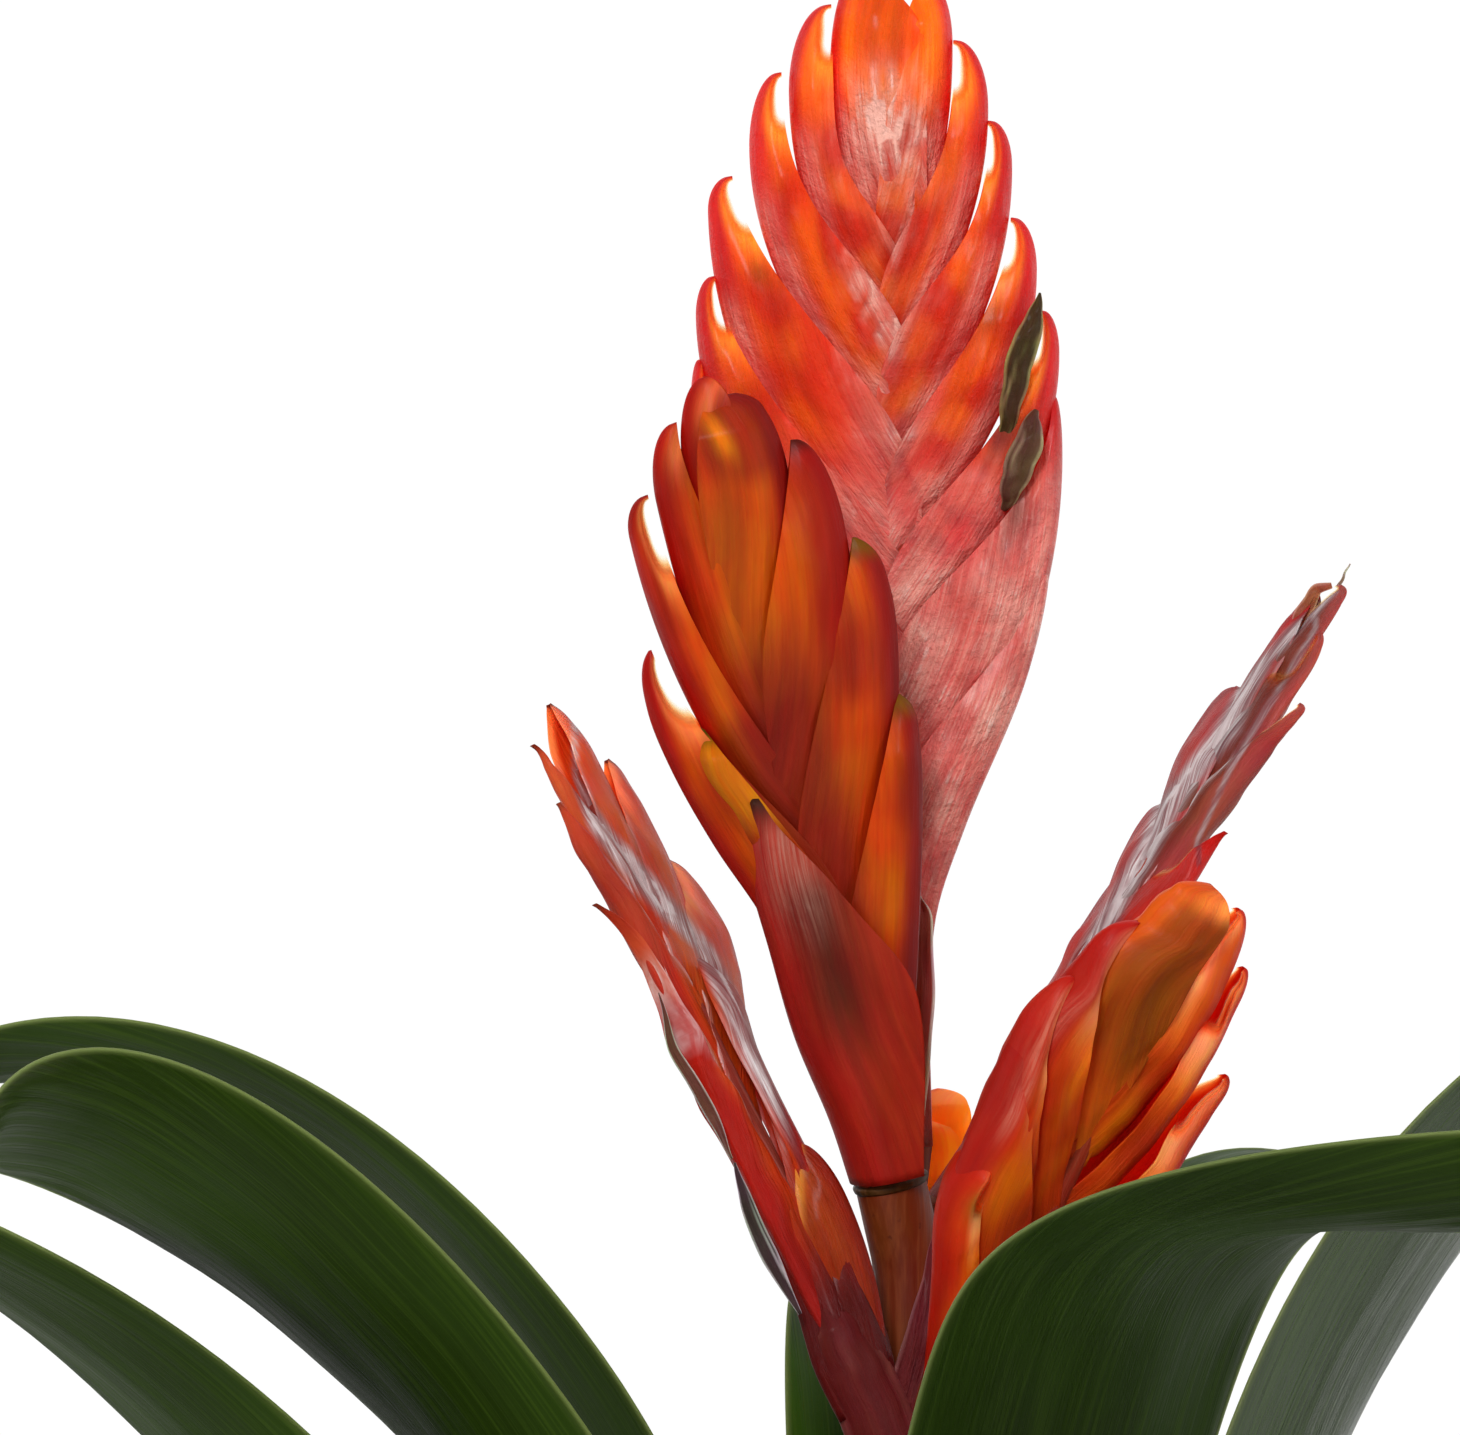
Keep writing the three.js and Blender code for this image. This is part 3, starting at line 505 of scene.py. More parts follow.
LEFT = [
    [1, 46, 6.4, 44, 4, dict(turn=70, peak=11, cross=20, bow=1.2, wrap=3)],
    [1, 60, 5.5, 57, 1, dict(turn=50, cross=44, foot=4.4)],
    [-1, 75.4, 4, 73, 0, dict(turn=-40, keel=[[0, 4], [9, 5.4], [29, 4.4], [53, 4.8], [64, 6.4], [73, 6]],
        cross=52, bow=1, thin=1.1, foot=4.4)],
    [1, 80, 5, 77, 0, dict(turn=50, keel=[[0, 5], [7, 8.2], [18, 7.4], [47, 8.3], [66, 7.6], [77, 5.4]],
        margin=[[0, 4.6], [5, 3.6], [41, 4], [56, 1.9], [77, -2]], thin=1.15, foot=4.4)],
    [-1, 92.8, 17, 86, 0, dict(keel=[[0, 17], [1, 15], [3, 12], [6, 9.2], [10, 7.6], [26, 7], [60, 6],
        [86, 4]], cross=56, bow=0.9)],
    [1, 98.6, 15.2, 50, 0, dict(keel=[[0, 15.2], [1, 18.4], [4, 21.7], [9, 23.8], [14, 24.4], [20, 22.5],
        [32, 15], [50, 4]], cross=38, bow=0.75, thin=0.9)],
    [-1, 110.5, 13.6, 56, 0, dict(keel=[[0, 13.6], [2, 12.8], [7, 12.2], [12, 10.8], [18, 8.6], [34, 7],
        [56, 3]], cross=44, bow=1, thin=0.85)],
    [1, 116.9, 10.7, 58, 0, dict(keel=[[0, 10.7], [1, 12.6], [5, 14.3], [15, 15.6], [30, 14], [45, 9],
        [58, 3]], bow=0.75, thin=0.8)],
    [-1, 120.8, 13.5, 58, 0, dict(keel=[[0, 13.5], [1, 12], [5, 11.2], [14, 10.2], [30, 7.4], [58, 3]],
        bow=0.9, thin=0.75)],
    [1, 127.5, -0.8, 54, 0, dict(keel=[[0, -0.8], [1, 1.4], [4, 3.9], [9, 6], [20, 6.8], [38, 5.5],
        [54, 2.4]], cross=18, bow=0.75, wrap=6, thin=0.7, blunt=0.15)],
]
LOWER = [
    [-1, 43.4, 16.5, 43, 0, dict(keel=[[0, 14.6], [1, 16], [3, 17.4], [9, 18.9], [16, 17.2], [25, 12.9],
        [43, 4.8]], margin=[[0, 14.3], [6, 15], [10, 14.5], [15, 12.2], [23, 7.5], [43, -2]], blunt=0.12)],
    [1, 48, 17, 48, 2.4, dict(cross=30)],
    [1, 64.8, 20.9, 54, 0, dict(keel=[[0, 20.9], [1, 21.8], [7, 21.2], [18, 19.2], [31, 14], [54, 2.4]],
        margin=[[0, 20.5], [2.4, 17.8], [6, 15], [10, 13], [17, 11.7], [26, 8.6], [54, -2]])],
    [-1, 68.7, 14.6, 62, 0, dict(keel=[[0, 14.6], [2, 17], [7, 19.6], [20, 19.5], [34, 18.4], [42, 15.9],
        [62, 3.5]], margin=[[0, 14.2], [5, 17.8], [11, 17.3], [22, 12.4], [38, 3.2], [62, -3]], thin=1.15)],
    [-1, 73.1, 16.3, 54, 3.9, dict(peak=9.7, margin=[[0, 15.9], [5, 17.3], [10, 17.3], [18, 14.6], [32, 8],
        [54, -2]], thin=1.1)],
    [1, 82.8, 13.8, 50, 1.8, dict(peak=5.5, slim=0.45, margin=[[0, 13.3], [3, 11.5], [8, 8], [20, 7],
        [30, 5.8], [50, -1]])],
    [-1, 84.9, 10, 57, 0, dict(keel=[[0, 10], [1, 12.6], [4, 15], [11.8, 16.1], [17, 18], [22, 18.8],
        [28, 18.2], [38, 13.4], [57, 4]], margin=[[0, 9.6], [2, 11], [5, 12.4], [10, 13], [20, 10.4], [31, 6],
        [57, -4]], thin=1.06)],
    [1, 91.8, 7.3, 47, 3.9, dict(peak=10.5, slim=0.52, margin=[[0, 6.8], [3, 4.6], [7, 2.4], [12, 1.4],
        [26, 1], [47, -3]])],
    [-1, 94.2, -2.5, 50, 0, dict(keel=[[0, 0.6], [0.6, 4.2], [3, 6.9], [6, 8.5], [9.5, 9.6], [12, 12],
        [16, 13.8], [20, 14], [29, 11.8], [40, 7.6], [50, 3]], margin=[[0, 0.2], [0.8, -1.8], [2.4, -3],
        [6, -3], [14, -1.8], [50, -2]], blunt=0.1)],
]
UPPER = [
    [-1, 40, 6.5, 40, 2, dict(cross=34)],
    [1, 46, 9, 44, 2, dict(cross=34)],
    [-1, 65.5, 10, 46, 1.5, dict(cross=40, bow=0.4)],
    [1, 76.3, 14.8, 45, 0, dict(keel=[[0, 14.8], [1.3, 13.3], [3.5, 12.4], [10, 12.9], [18, 11], [45, 4]],
        cross=26, bow=0.9)],
    [-1, 77.9, 11, 42, 0, dict(keel=[[0, 11], [0.7, 12.6], [3, 13.8], [10, 12.8], [19, 9.4], [42, 3]],
        cross=18, bow=0.4)],
    [1, 101.1, 14.2, 52, 0, dict(keel=[[0, 14.2], [0.6, 15.5], [2.6, 15], [5.4, 13.4], [8.3, 11.3], [16, 9.6],
        [26, 7.9], [52, 3]], cross=38, bow=0.9)],
    [-1, 101.4, 9.5, 46, 0, dict(keel=[[0, 9.5], [0.6, 11.8], [2.6, 13.8], [6, 14.5], [15.6, 13.8], [25, 9.5],
        [46, 3]], cross=18, bow=0.4, thin=0.9)],
    [1, 114.7, 5.2, 50, 0, dict(keel=[[0, 5.2], [1.2, 7.8], [3.6, 9.5], [7, 10.2], [14, 9.2], [29, 8],
        [50, 3]], cross=30, bow=0.7, thin=0.8)],
    [-1, 121.5, 5, 46, 0, dict(keel=[[0, 5], [4, 5.2], [11, 6.8], [20, 7.6], [46, 3]], cross=16, bow=0.4,
        thin=0.72, blunt=0.15)],
    [1, 123, 4.8, 50, 0, dict(keel=[[0, 4.8], [0.5, 6.1], [3.3, 7.2], [10, 6.9], [30, 6.4], [50, 3]],
        cross=20, bow=0.45, thin=0.6)],
]
BACK = [
    [-1, 26, 5.6, 24, 1, dict(cross=18)],
    [1, 31.5, 1, 30, 0, dict(keel=[[0, 1], [1, 4.4], [3, 6.2], [8, 7.4], [15, 6.6], [30, 3]], margin=[[0, 0],
        [1, -3], [4, -5.2], [10, -6], [30, -3.4]], thin=1.16, blunt=0.12)],
    [-1, 35.5, 0, 32, 0, dict(keel=[[0, 0], [1, 2.6], [4, 4.6], [9, 5.4], [32, 3]], margin=[[0, -0.6],
        [1, -3.4], [4, -5.4], [9, -5.6], [32, -3]], blunt=0.12)],
]

# base is the foot of a spike, roll the degrees it is turned about its line, deep half its depth
Spike = namedtuple("Spike", "base tip roll deep neck rows")
SPIKES = {
    "spike_main": Spike([1.4, 10, 242.3], [-2.2, 10, 431.7], 0, 6, 3.4, MAIN),
    "spike_front": Spike([-2.5, -3, 237.9], [-31.4, -22, 365.8], 0, 5.4, 5.7, FRONT),
    "spike_left": Spike([-4.4, -15, 199.6], [-56.9, 4, 314.2], -66, 3, 5, LEFT),
    "spike_right_lower": Spike([6, -13, 204], [47.5, -35, 286], -35, 5.4, 4.8, LOWER),
    "spike_right_upper": Spike([7, 21, 230.6], [71.8, 37, 335.2], 66, 2.9, 4.4, UPPER),
    "spike_back": Spike([6, 30, 216], [6, 40, 254], 0, 4.8, 4, BACK),
}


def axes(s, extra=0.0):
    """Unit vectors of a spike: along it, across its two ranks, and out of its flat face."""
    a = unit(np.subtract(s.tip, s.base))
    n0 = np.array([0.0, -1, 0])
    n0 = unit(n0 - a * (n0 @ a))
    e0 = np.cross(a, n0)
    w = math.radians(s.roll + extra)
    return a, e0 * math.cos(w) + n0 * math.sin(w), n0 * math.cos(w) - e0 * math.sin(w)


def curve(pairs, x):
    """Smooth curve through [x, y] pairs."""
    k = np.asarray(pairs, float)
    i = np.clip(np.searchsorted(k[:, 0], x, side="left") - 1, 0, len(k) - 2)
    slope = np.diff(k[:, 1]) / np.diff(k[:, 0])
    s0 = np.where(i == 0, slope[0] * 1.5, (slope[np.maximum(i - 1, 0)] + slope[i]) / 2)
    s1 = np.where(i == len(k) - 2, slope[i], (slope[i] + slope[np.minimum(i + 1, len(k) - 2)]) / 2)
    w = k[i + 1, 0] - k[i, 0]
    q = (x - k[i, 0]) / w
    ends = (2 * q**3 - 3 * q * q + 1) * k[i, 1] + (3 * q * q - 2 * q**3) * k[i + 1, 1]
    return ends + (q**3 - 2 * q * q + q) * w * s0 + (q**3 - q * q) * w * s1


KEEL_FOOT = 2.4  # reach of a keel at its foot, inside the stalk


def bract_lines(row, deep, d):
    """Keel and margin reach, and half thickness, at distances d below the tip."""
    _, _, reach, long, swell, more = row
    peak = more.get("peak", 8)
    if "keel" in more:
        keel = curve(more["keel"], d)
    else:
        t = np.clip((d - peak) / (long - peak), 0, 1)
        tip = np.sqrt(np.clip(1 - (1 - np.minimum(d / peak, 1)) ** 2, 0, 1))
        fall = (1 - t * t) ** more.get("slim", 0.9)
        keel = np.where(d < peak, reach + swell * tip, KEEL_FOOT + (reach + swell - KEEL_FOOT) * fall)
    if "margin" in more:
        margin = curve(more["margin"], d)
    else:
        x = d / more.get("cross", 36)
        path = (x / (1 + x**7) ** (1 / 7)) ** more.get("bow", 1.4)
        margin = reach - 0.5 - (reach - 0.5 + more.get("wrap", 4)) * path
    margin = np.maximum(np.minimum(margin, keel - 0.5), -np.abs(keel) - 3)
    t = 1 - d / long
    foot = more.get("foot", 2.4)
    tip = np.minimum(1, ((1 - t) / more.get("blunt", 0.3) + 0.02) ** 0.62)
    depth = more.get("thin", 1) * (foot + (deep - foot) * smooth(t / 0.62)) * tip
    return keel, margin, np.maximum(depth, 0.45)


# places across half a bract, 0 at the keel and 1 at the margin, closer where it curves most
ACROSS = np.array([
    0, 0.012, 0.035, 0.07, 0.11, 0.16, 0.22, 0.29, 0.37, 0.46, 0.55, 0.64, 0.73, 0.81, 0.88, 0.93, 0.965,
    0.985, 1])
BRACT_ROWS = 64
FAR = 99  # a reach that no bract has


def make_bract(sheets, name, s, number, paint):
    row = s.rows[number]
    side, tip, _, long, _, more = row
    along, over, out = axes(s, side * more.get("turn", 0))
    d = (long * np.linspace(0, 1, BRACT_ROWS) ** 1.5)[:, None]
    keel, margin, depth = bract_lines(row, s.deep, d)
    wide = keel - margin
    q = np.concatenate([-ACROSS[::-1], ACROSS[1:]])[None, :]  # front margin, keel, back margin
    off = np.abs(q)
    fold = np.minimum(7, wide * 0.62)
    seed = number * 17 + len(name)
    drop = d[min(int((margin[:, 0] > 0.5).sum()), BRACT_ROWS - 1), 0]  # where the margin meets the middle

    def sheet(reach, deep):
        """Reach and height of one skin of the sheet, from its keel's reach and its depth."""
        x = reach - (reach - margin) * off
        bend = np.clip((reach - x) / fold, 0, 1)
        flat = np.clip((reach - fold - x) / np.maximum(wide - fold, 0.1), 0, 1)
        y = deep * (0.97 * (1 - (1 - bend) ** 1.7) ** 0.6 - 0.07 * flat)
        # swellings over the flower buds inside, a slight wave, and a margin that lifts where it crosses over
        open_face = smooth(d / 9) * smooth(off / 0.25) * ramp(d, long, 0.8 * long)
        bud = 0.5 * hump(off, 0.5, 0.2) * smooth((d - 0.5 * drop) / 10)
        wave = 0.3 * waves(seed, x, d, 13) + 0.12 * waves(seed + 5, x * 2.2, d * 0.6, 7)
        y = y + open_face * (bud + wave)
        y = y + 0.12 * ramp(off, 0.9, 1) * smooth((d - drop) / 8) * smooth((long - d) / 20)
        return x, np.maximum(y, 0.12)

    x, y = sheet(keel, depth)
    wall = np.minimum(0.75, 0.3 * depth)
    inner_x, inner_y = sheet(np.maximum(keel - 1.3 * wall, margin + 0.3 * wide), depth - wall)
    thin = wall * (1 - 0.62 * ramp(off, 0.75, 1))
    inner_y = np.minimum(inner_y, y - 0.1)
    inner_y = np.where(off > 0.5, np.maximum(inner_y, y - thin), inner_y)
    inner_y = np.where(off == 0, 0, np.maximum(inner_y, 0.02))
    y = np.where(off == 0, 0, y)

    def full(v):
        return v + 0 * x

    height = full(tip - d + 0.3)

    def place(x, y):
        face = out * (y * np.where(q <= 0, 1, -1))[..., None]
        return np.asarray(s.base) + along * height[..., None] + over * (side * x)[..., None] + face

    # the keel of the next bract above on the same side, where it hides this one
    above = full(np.where(d > 12, FAR, -FAR) if "turn" in more else -FAR)
    for other in s.rows[number + 1 :]:
        if other[0] == side and "turn" not in other[5] and "turn" not in more:
            below = other[1] - (tip - d)
            hiding = bract_lines(other, s.deep, np.clip(below, 0, other[3]))[0]
            above = full(np.where(below > 0, hiding, -FAR))
            break
    front = place(x, y)
    p = Face(
        X=front[..., 0], Z=front[..., 2], x=x, d=full(d), m=full(margin), inner=keel - x, h=height,
        above=above, side=side, number=number, seed=seed, sheen=full(0), clear=full(0))
    paint(p)
    grain = np.stack([np.sign(q) * p.inner, p.d, full(number * 23.0)], -1)
    sheets.rings(
        around(front, place(inner_x, inner_y)), "flat", tint=around(p.tint), sheen=around(p.sheen),
        clear=around(p.clear), grain=around(grain))


class Face(SimpleNamespace):
    """A bract's points for a paint function, which sets tint, and sheen or clear where not 0. X and Z are
    world mm, x the reach, d mm below the tip, m the margin's reach, inner mm in from the keel, h the height
    up the spike, above the reach of the keel that hides it."""

    def start(self, low, high, f):
        self.tint = mix(rgb(*low), rgb(*high), f)

    def lay(self, f, *color):
        self.tint = mix(self.tint, rgb(*color), f)

    def at(self, d, inner, long, wide):
        """A soft oval patch at d below the tip and inner in from the keel."""
        return hump(self.d, d, long) * hump(self.inner, inner, wide)

    def window(self, reach, wide):
        """1 in the thin corner between tip and next bract, where light comes through, 0 from reach down."""
        edge = (self.x - np.maximum(self.m, self.above)) * 0.75  # mm from the edge that shows
        corner = smooth((self.inner - 0.7 - 0.12 * self.d) / 1.6)
        return corner * smooth(self.d) * ramp(self.d, reach, 0.5 * reach) * ramp(edge, wide, 0.1 * wide)

    def glow(self, reach, wide, near, far):
        """Paints a glow of light coming through: runs the colour through far to near towards the window."""
        self.lay(self.window(1.8 * reach, 2.4 * wide), *far)
        self.lay(self.window(1.35 * reach, 1.5 * wide), *near)


def paint_main(p):
    inner, d, h, x, number = p.inner, p.d, p.h, p.x, p.number
    top, low = ramp(h, 163, 175), ramp(h, 122, 96)
    wander = waves(p.seed + 3, x, d, 16)
    small = waves(p.seed + 7, x * 2.4, d, 9)
    creased = waves(p.seed + 11, x * 1.5, d * 0.6, 5)
    p.start((216, 34, 34), (232, 62, 22), ramp(inner + wander, 2, 6))
    # pink where the sheets cross the middle, and crimson painted shade in the folds between them
    middle = ramp(x, 11, 3) * ramp(d, 12, 24) * (1 - top)
    p.lay(middle * 0.85, 230, 84, 66)
    p.lay(middle * ramp(np.abs(x), 5, 1) * smooth(small + 0.2) * ramp(h, 158, 142), 200, 18, 34)
    # painted shadow of a flower bud inside, orange through the sheet, some with a dark tip
    bud = hump(inner - 0.6 * wander, 7.4, 3.4) * ramp(d, 9, 15) * ramp(d, 54, 42)
    bud = np.clip(1.7 * bud, 0, 1) * (1 - low)
    p.tint = mix(p.tint, mix(rgb(214, 42, 0), rgb(236, 92, 0), smooth(0.5 + wander)), bud)
    p.lay(low * 0.9, 230, 66, 66)
    p.lay(low * smooth(1.3 * small + 0.1) * 0.7, 188, 26, 40)
    p.lay(top * ramp(inner, 0.6, 2.8) * ramp(d, 40, 24), 255, 126, 0)
    if number == 14:  # the youngest bud, an amber oval
        p.lay(smooth(2.6 * p.at(3, 9.4, 11, 5.4)), 228, 88, 0)
    # painted shadow of a bud's dark tip
    if number in (7, 8):
        p.lay(p.at(15, 7.2, 2.8, 1.6) * 0.85, 96, 66, 8)
    if number in (3, 5):  # painted shadow of a withered flower, dark through the fold that holds it
        p.lay(p.at(19, 7, 5, 2.2) * 0.7, 104, 40, 30)
    # painted glow of light coming through the thin corner by the tip, which is also see-through there
    if number not in (1, 3, 13, 14):
        p.glow(12, 2.6, (255, 186, 60), (250, 104, 14))
        p.clear = p.window(12, 2.6)
    # waxy bloom and painted sheen over the middle, in fine lines along each keel below its tip, and a painted
    # highlight on the upper middle
    keel = ramp(inner, 6.5, 2.5) * ramp(d, 16, 26) * (1 - top)
    upper_sheen = ramp(np.abs(x), 13, 5) * ramp(h, 118, 132) * ramp(h, 178, 164) * ramp(d, 14, 26)
    upper_sheen = upper_sheen * smooth(0.5 + 0.9 * small)
    sheen = np.maximum(middle * (0.45 + 0.5 * wander), (0.62 + 0.3 * wander) * low)
    sheen = np.maximum(np.maximum(sheen, 0.6 * keel), 1.05 * upper_sheen)
    # a painted glossy highlight near the top of the middle
    shiny = hump(h, 166, 9) * hump(p.side * x, -1.6, 6) * ramp(d, 9, 17) * (0.75 + 0.5 * creased)
    p.sheen = np.clip(np.maximum(sheen * (1 - 0.9 * bud), 1.7 * shiny), 0, 1.1)


def paint_front(p):
    inner, d, h, x, number = p.inner, p.d, p.h, p.x, p.number
    sway = waves(p.seed + 9, x * 1.6, d * 0.22, 14)
    p.start((186, 22, 10), (208, 70, 2), ramp(inner + sway, 0.5, 5))
    p.lay(smooth(sway) * smooth(inner / 6) * ramp(h, 40, 80) * 0.8, 206, 98, 2)
    # clouds of amber and dark red run over all the sheets
    cloud = waves(77, p.X, p.Z * 0.45, 17)
    p.lay(smooth(1.4 * cloud - 0.2) * ramp(inner, 1.5, 5.5) * 0.75, 214, 104, 4)
    p.lay(smooth(-1.4 * cloud - 0.1) * 0.7, 146, 22, 12)
    # deep red painted shade where the sheets cross the middle, brown towards the foot
    p.lay(ramp(np.abs(x), 10, 3) * ramp(h, 102, 78) * 0.8, 134, 22, 16)
    p.lay(ramp(h, 44, 14) * 0.7, 140, 44, 20)
    if number in (3, 5):
        # painted glow of light coming through the thin corner by the tip, which is also see-through there
        p.glow(13, 2.4, (255, 186, 104), (236, 104, 40))
        p.clear = p.window(16, 3.2)
    if p.side > 0:
        p.lay(ramp(inner, 3.4, 1) * 0.8, 138, 18, 14)
    if number == 0:  # the sterile bract at the foot: red-brown, dark and dry at its tip
        p.start((186, 34, 26), (176, 46, 26), smooth(inner / 12))
        p.lay(ramp(d, 9, 1), 58, 34, 26)
        p.lay(0.85 * hump(inner, 9, 4.6) * ramp(d, 12, 20) * ramp(d, 50, 34), 78, 30, 18)
        # a pale streak of waxy sheen, partly a painted highlight
        p.sheen = 0.75 * hump(inner, 7, 4) * ramp(d, 3, 9) * ramp(d, 30, 16)
    elif number == 2:  # golden bract with a green tip
        p.start((216, 130, 8), (96, 88, 10), ramp(d, 3.5, 0.5))
        p.lay(ramp(d, 12, 20), 190, 60, 12)
    elif number in (1, 4):
        p.lay(ramp(d, 5, 0.5) * 0.85, 120, 82, 12)
    elif number == 6:
        p.lay(ramp(inner, 9, 4) * ramp(d, 40, 26) * 0.8, 176, 20, 10)
        p.lay(ramp(d, 3, 0), 92, 20, 10)
    elif number in (7, 9):
        # a painted pale orange glow near the tip
        p.lay(p.at(4, 3.6, 4, 1.4) * 0.8, 236, 120, 60)
    elif number == 8:
        # a painted golden glow where light comes through near the top
        p.lay(p.at(6, 8.6, 3.6, 1.5) * 0.9, 240, 138, 6)
        p.lay(ramp(inner, 5, 10) * ramp(d, 8, 18) * ramp(d, 46, 34) * 0.8, 186, 70, 8)


# painted reflections of the bright light behind, silver stripes down the side spikes: height Z, place X and
# half width, in world mm
PAINTED_SHEEN_LEFT = [
    [240.7, -16.6, 0.7], [249, -20.1, 1.1], [256.1, -23.7, 1.6], [263.1, -26.7, 2], [275, -32.4, 1.8],
    [283.9, -40.4, 2.6], [294.6, -49.1, 1.8], [302.4, -53.3, 0.7]]
PAINTED_SHEEN_RIGHT = [
    [271.5, 29, 1.5], [277.3, 33, 2.2], [282.2, 35.7, 1.9], [287.1, 38.6, 2.1], [292.9, 41.8, 2],
    [298.7, 45, 2.1], [304.4, 49.2, 2.1], [309.8, 53.6, 2.4], [316, 56.9, 1.6], [321.4, 60.3, 1.2],
    [326.8, 65.1, 1.4], [333, 71.7, 0.8]]
PAINTED_SHEEN_THREAD = [[292, 48.5, 0.5], [304, 54, 0.6], [315, 61, 0.6], [327, 68.5, 0.5]]


def stripe(p, path):
    z, x, wide = np.asarray(path, float).T
    off = np.abs(p.X - np.interp(p.Z, z, x)) / np.interp(p.Z, z, wide)
    return ramp(off, 1.3, 0.4) * (p.Z > z[0] - 4)


def streaked(p, painted_sheen):
    """Painted silver sheen, a reflection of the bright light behind, where the stripe is, and in a hairline
    down every margin that crosses the face.
    """
    sway = waves(p.seed + 9, p.x * 2.6, p.d * 0.2, 9)
    line = ramp(p.x - p.m, 1.3, 0.4) * ramp(p.d, 8, 14) * ramp(p.h, 34, 54)
    return np.clip(np.maximum(painted_sheen * (0.95 + 0.3 * sway), 0.7 * line), 0, 1)


def paint_left(p):
    inner, d, h, number = p.inner, p.d, p.h, p.number
    sway = waves(p.seed + 9, p.x, d * 0.35, 12)
    # the silver stripe is a painted reflection of the bright light behind
    painted_sheen = stripe(p, PAINTED_SHEEN_LEFT)
    p.start((200, 34, 22), (220, 72, 14), ramp(inner + sway, 0.5, 4.5))
    p.lay(smooth(sway + 0.4) * ramp(h, 40, 70), 222, 98, 38)
    p.lay(ramp(inner, 4, 1) * ramp(h, 60, 90) * 0.5, 198, 90, 62)
    p.lay(ramp(h, 46, 24) * 0.85, 170, 20, 14)
    p.lay(ramp(d, 2, 0) * 0.6, 120, 50, 34)
    p.lay(painted_sheen * 0.8, 140, 40, 50)
    if number == 0:  # thin orange finger, with a painted glow along its margin
        p.start((172, 40, 16), (190, 66, 14), smooth(inner / 4))
        p.lay(ramp(p.x - p.m, 2.4, 0.6) * ramp(d, 26, 16), 250, 150, 60)
        return
    p.sheen = streaked(p, painted_sheen)
    if number in (5, 7, 9):
        # painted glow of light coming through the thin corner by the tip
        p.glow(9, 1.6, (255, 176, 110), (240, 120, 60))
    elif number in (2, 3):
        p.lay(ramp(h, 34, 18) * 0.85, 96, 18, 20)
        p.sheen *= ramp(h, 44, 58)


def paint_right(p):
    inner, d = p.inner, p.d
    sway = waves(p.seed + 9, p.x, d * 0.35, 12)
    # the silver stripe is a painted reflection of the bright light behind
    painted_sheen = stripe(p, PAINTED_SHEEN_RIGHT)
    if p.side < 0:  # dark red keels beside the stripe
        p.start((182, 26, 34), (200, 52, 48), ramp(inner + sway, 1, 5))
    else:  # brown-red faces and pink fingers, with a painted orange glow of light coming through them
        p.start((190, 84, 76), (146, 56, 36), ramp(inner + sway, 1, 3.4) * smooth(d / 6))
        p.lay(p.window(14, 2.2), 250, 140, 60)
        p.clear = p.window(14, 2.6)
    if p.number in (1, 3):
        p.lay(0.85, 212, 34, 18)
    # a thread of the same painted reflection
    painted_sheen = np.maximum(painted_sheen, 0.8 * stripe(p, PAINTED_SHEEN_THREAD))
    p.lay(painted_sheen * 0.8, 128, 58, 68)
    if p.number != 3:
        p.sheen = streaked(p, painted_sheen)


def paint_lower(p):
    inner, d, number = p.inner, p.d, p.number
    sway = waves(p.seed + 9, p.x * 1.6, d * 0.3, 14)
    p.start((206, 36, 14), (226, 84, 4), smooth((inner + sway) / 4.5))
    p.lay(smooth(sway) * smooth(inner / 5), 236, 124, 6)
    p.lay(ramp(d, 20, 32) * (0.5 - 0.4 * sway), 178, 36, 14)
    # painted glow of light coming through the thin corner by each tip
    p.glow(16, 2, (255, 196, 130), (252, 140, 50))
    if number in (3, 4, 6):  # redder sheets with a pale line near the keel, a painted highlight
        p.lay(ramp(inner, 6, 1) * 0.8, 196, 34, 24)
        p.sheen = 0.5 * hump(inner, 1.6, 0.9) * smooth(d / 4) * ramp(d, 26, 18)
    elif number == 8:  # a brown dome, orange along its keel, with a painted pale glow at its tip
        p.lay(0.85, 222, 104, 22)
        p.lay(ramp(inner, 0.6, 3.2) * ramp(d, 2, 5) * ramp(d, 38, 26) * 0.9, 170, 78, 10)
        p.lay(p.at(2.2, 9, 1.6, 5) * 0.9, 255, 180, 80)
    else:
        p.clear = p.window(13, 1.6)
    if number == 0:
        p.lay(ramp(d, 8, 18) * ramp(inner, 2, 6), 240, 132, 6)
        p.lay(p.at(9, 3.4, 3, 1.6), 126, 104, 10)
    if number in (0, 3):
        p.lay(ramp(d, 4, 0) * 0.7, 112, 88, 12)


def paint_back(p):
    patches = 0.3 * waves(p.seed, p.x, p.d, 6)
    p.start((236, 112, 4), (255, 186, 20), smooth(p.inner / 4 + patches))
    # a painted pale glow near the tip, where light comes through
    p.lay(p.at(2, 6, 2, 5) * 0.9, 255, 206, 110)


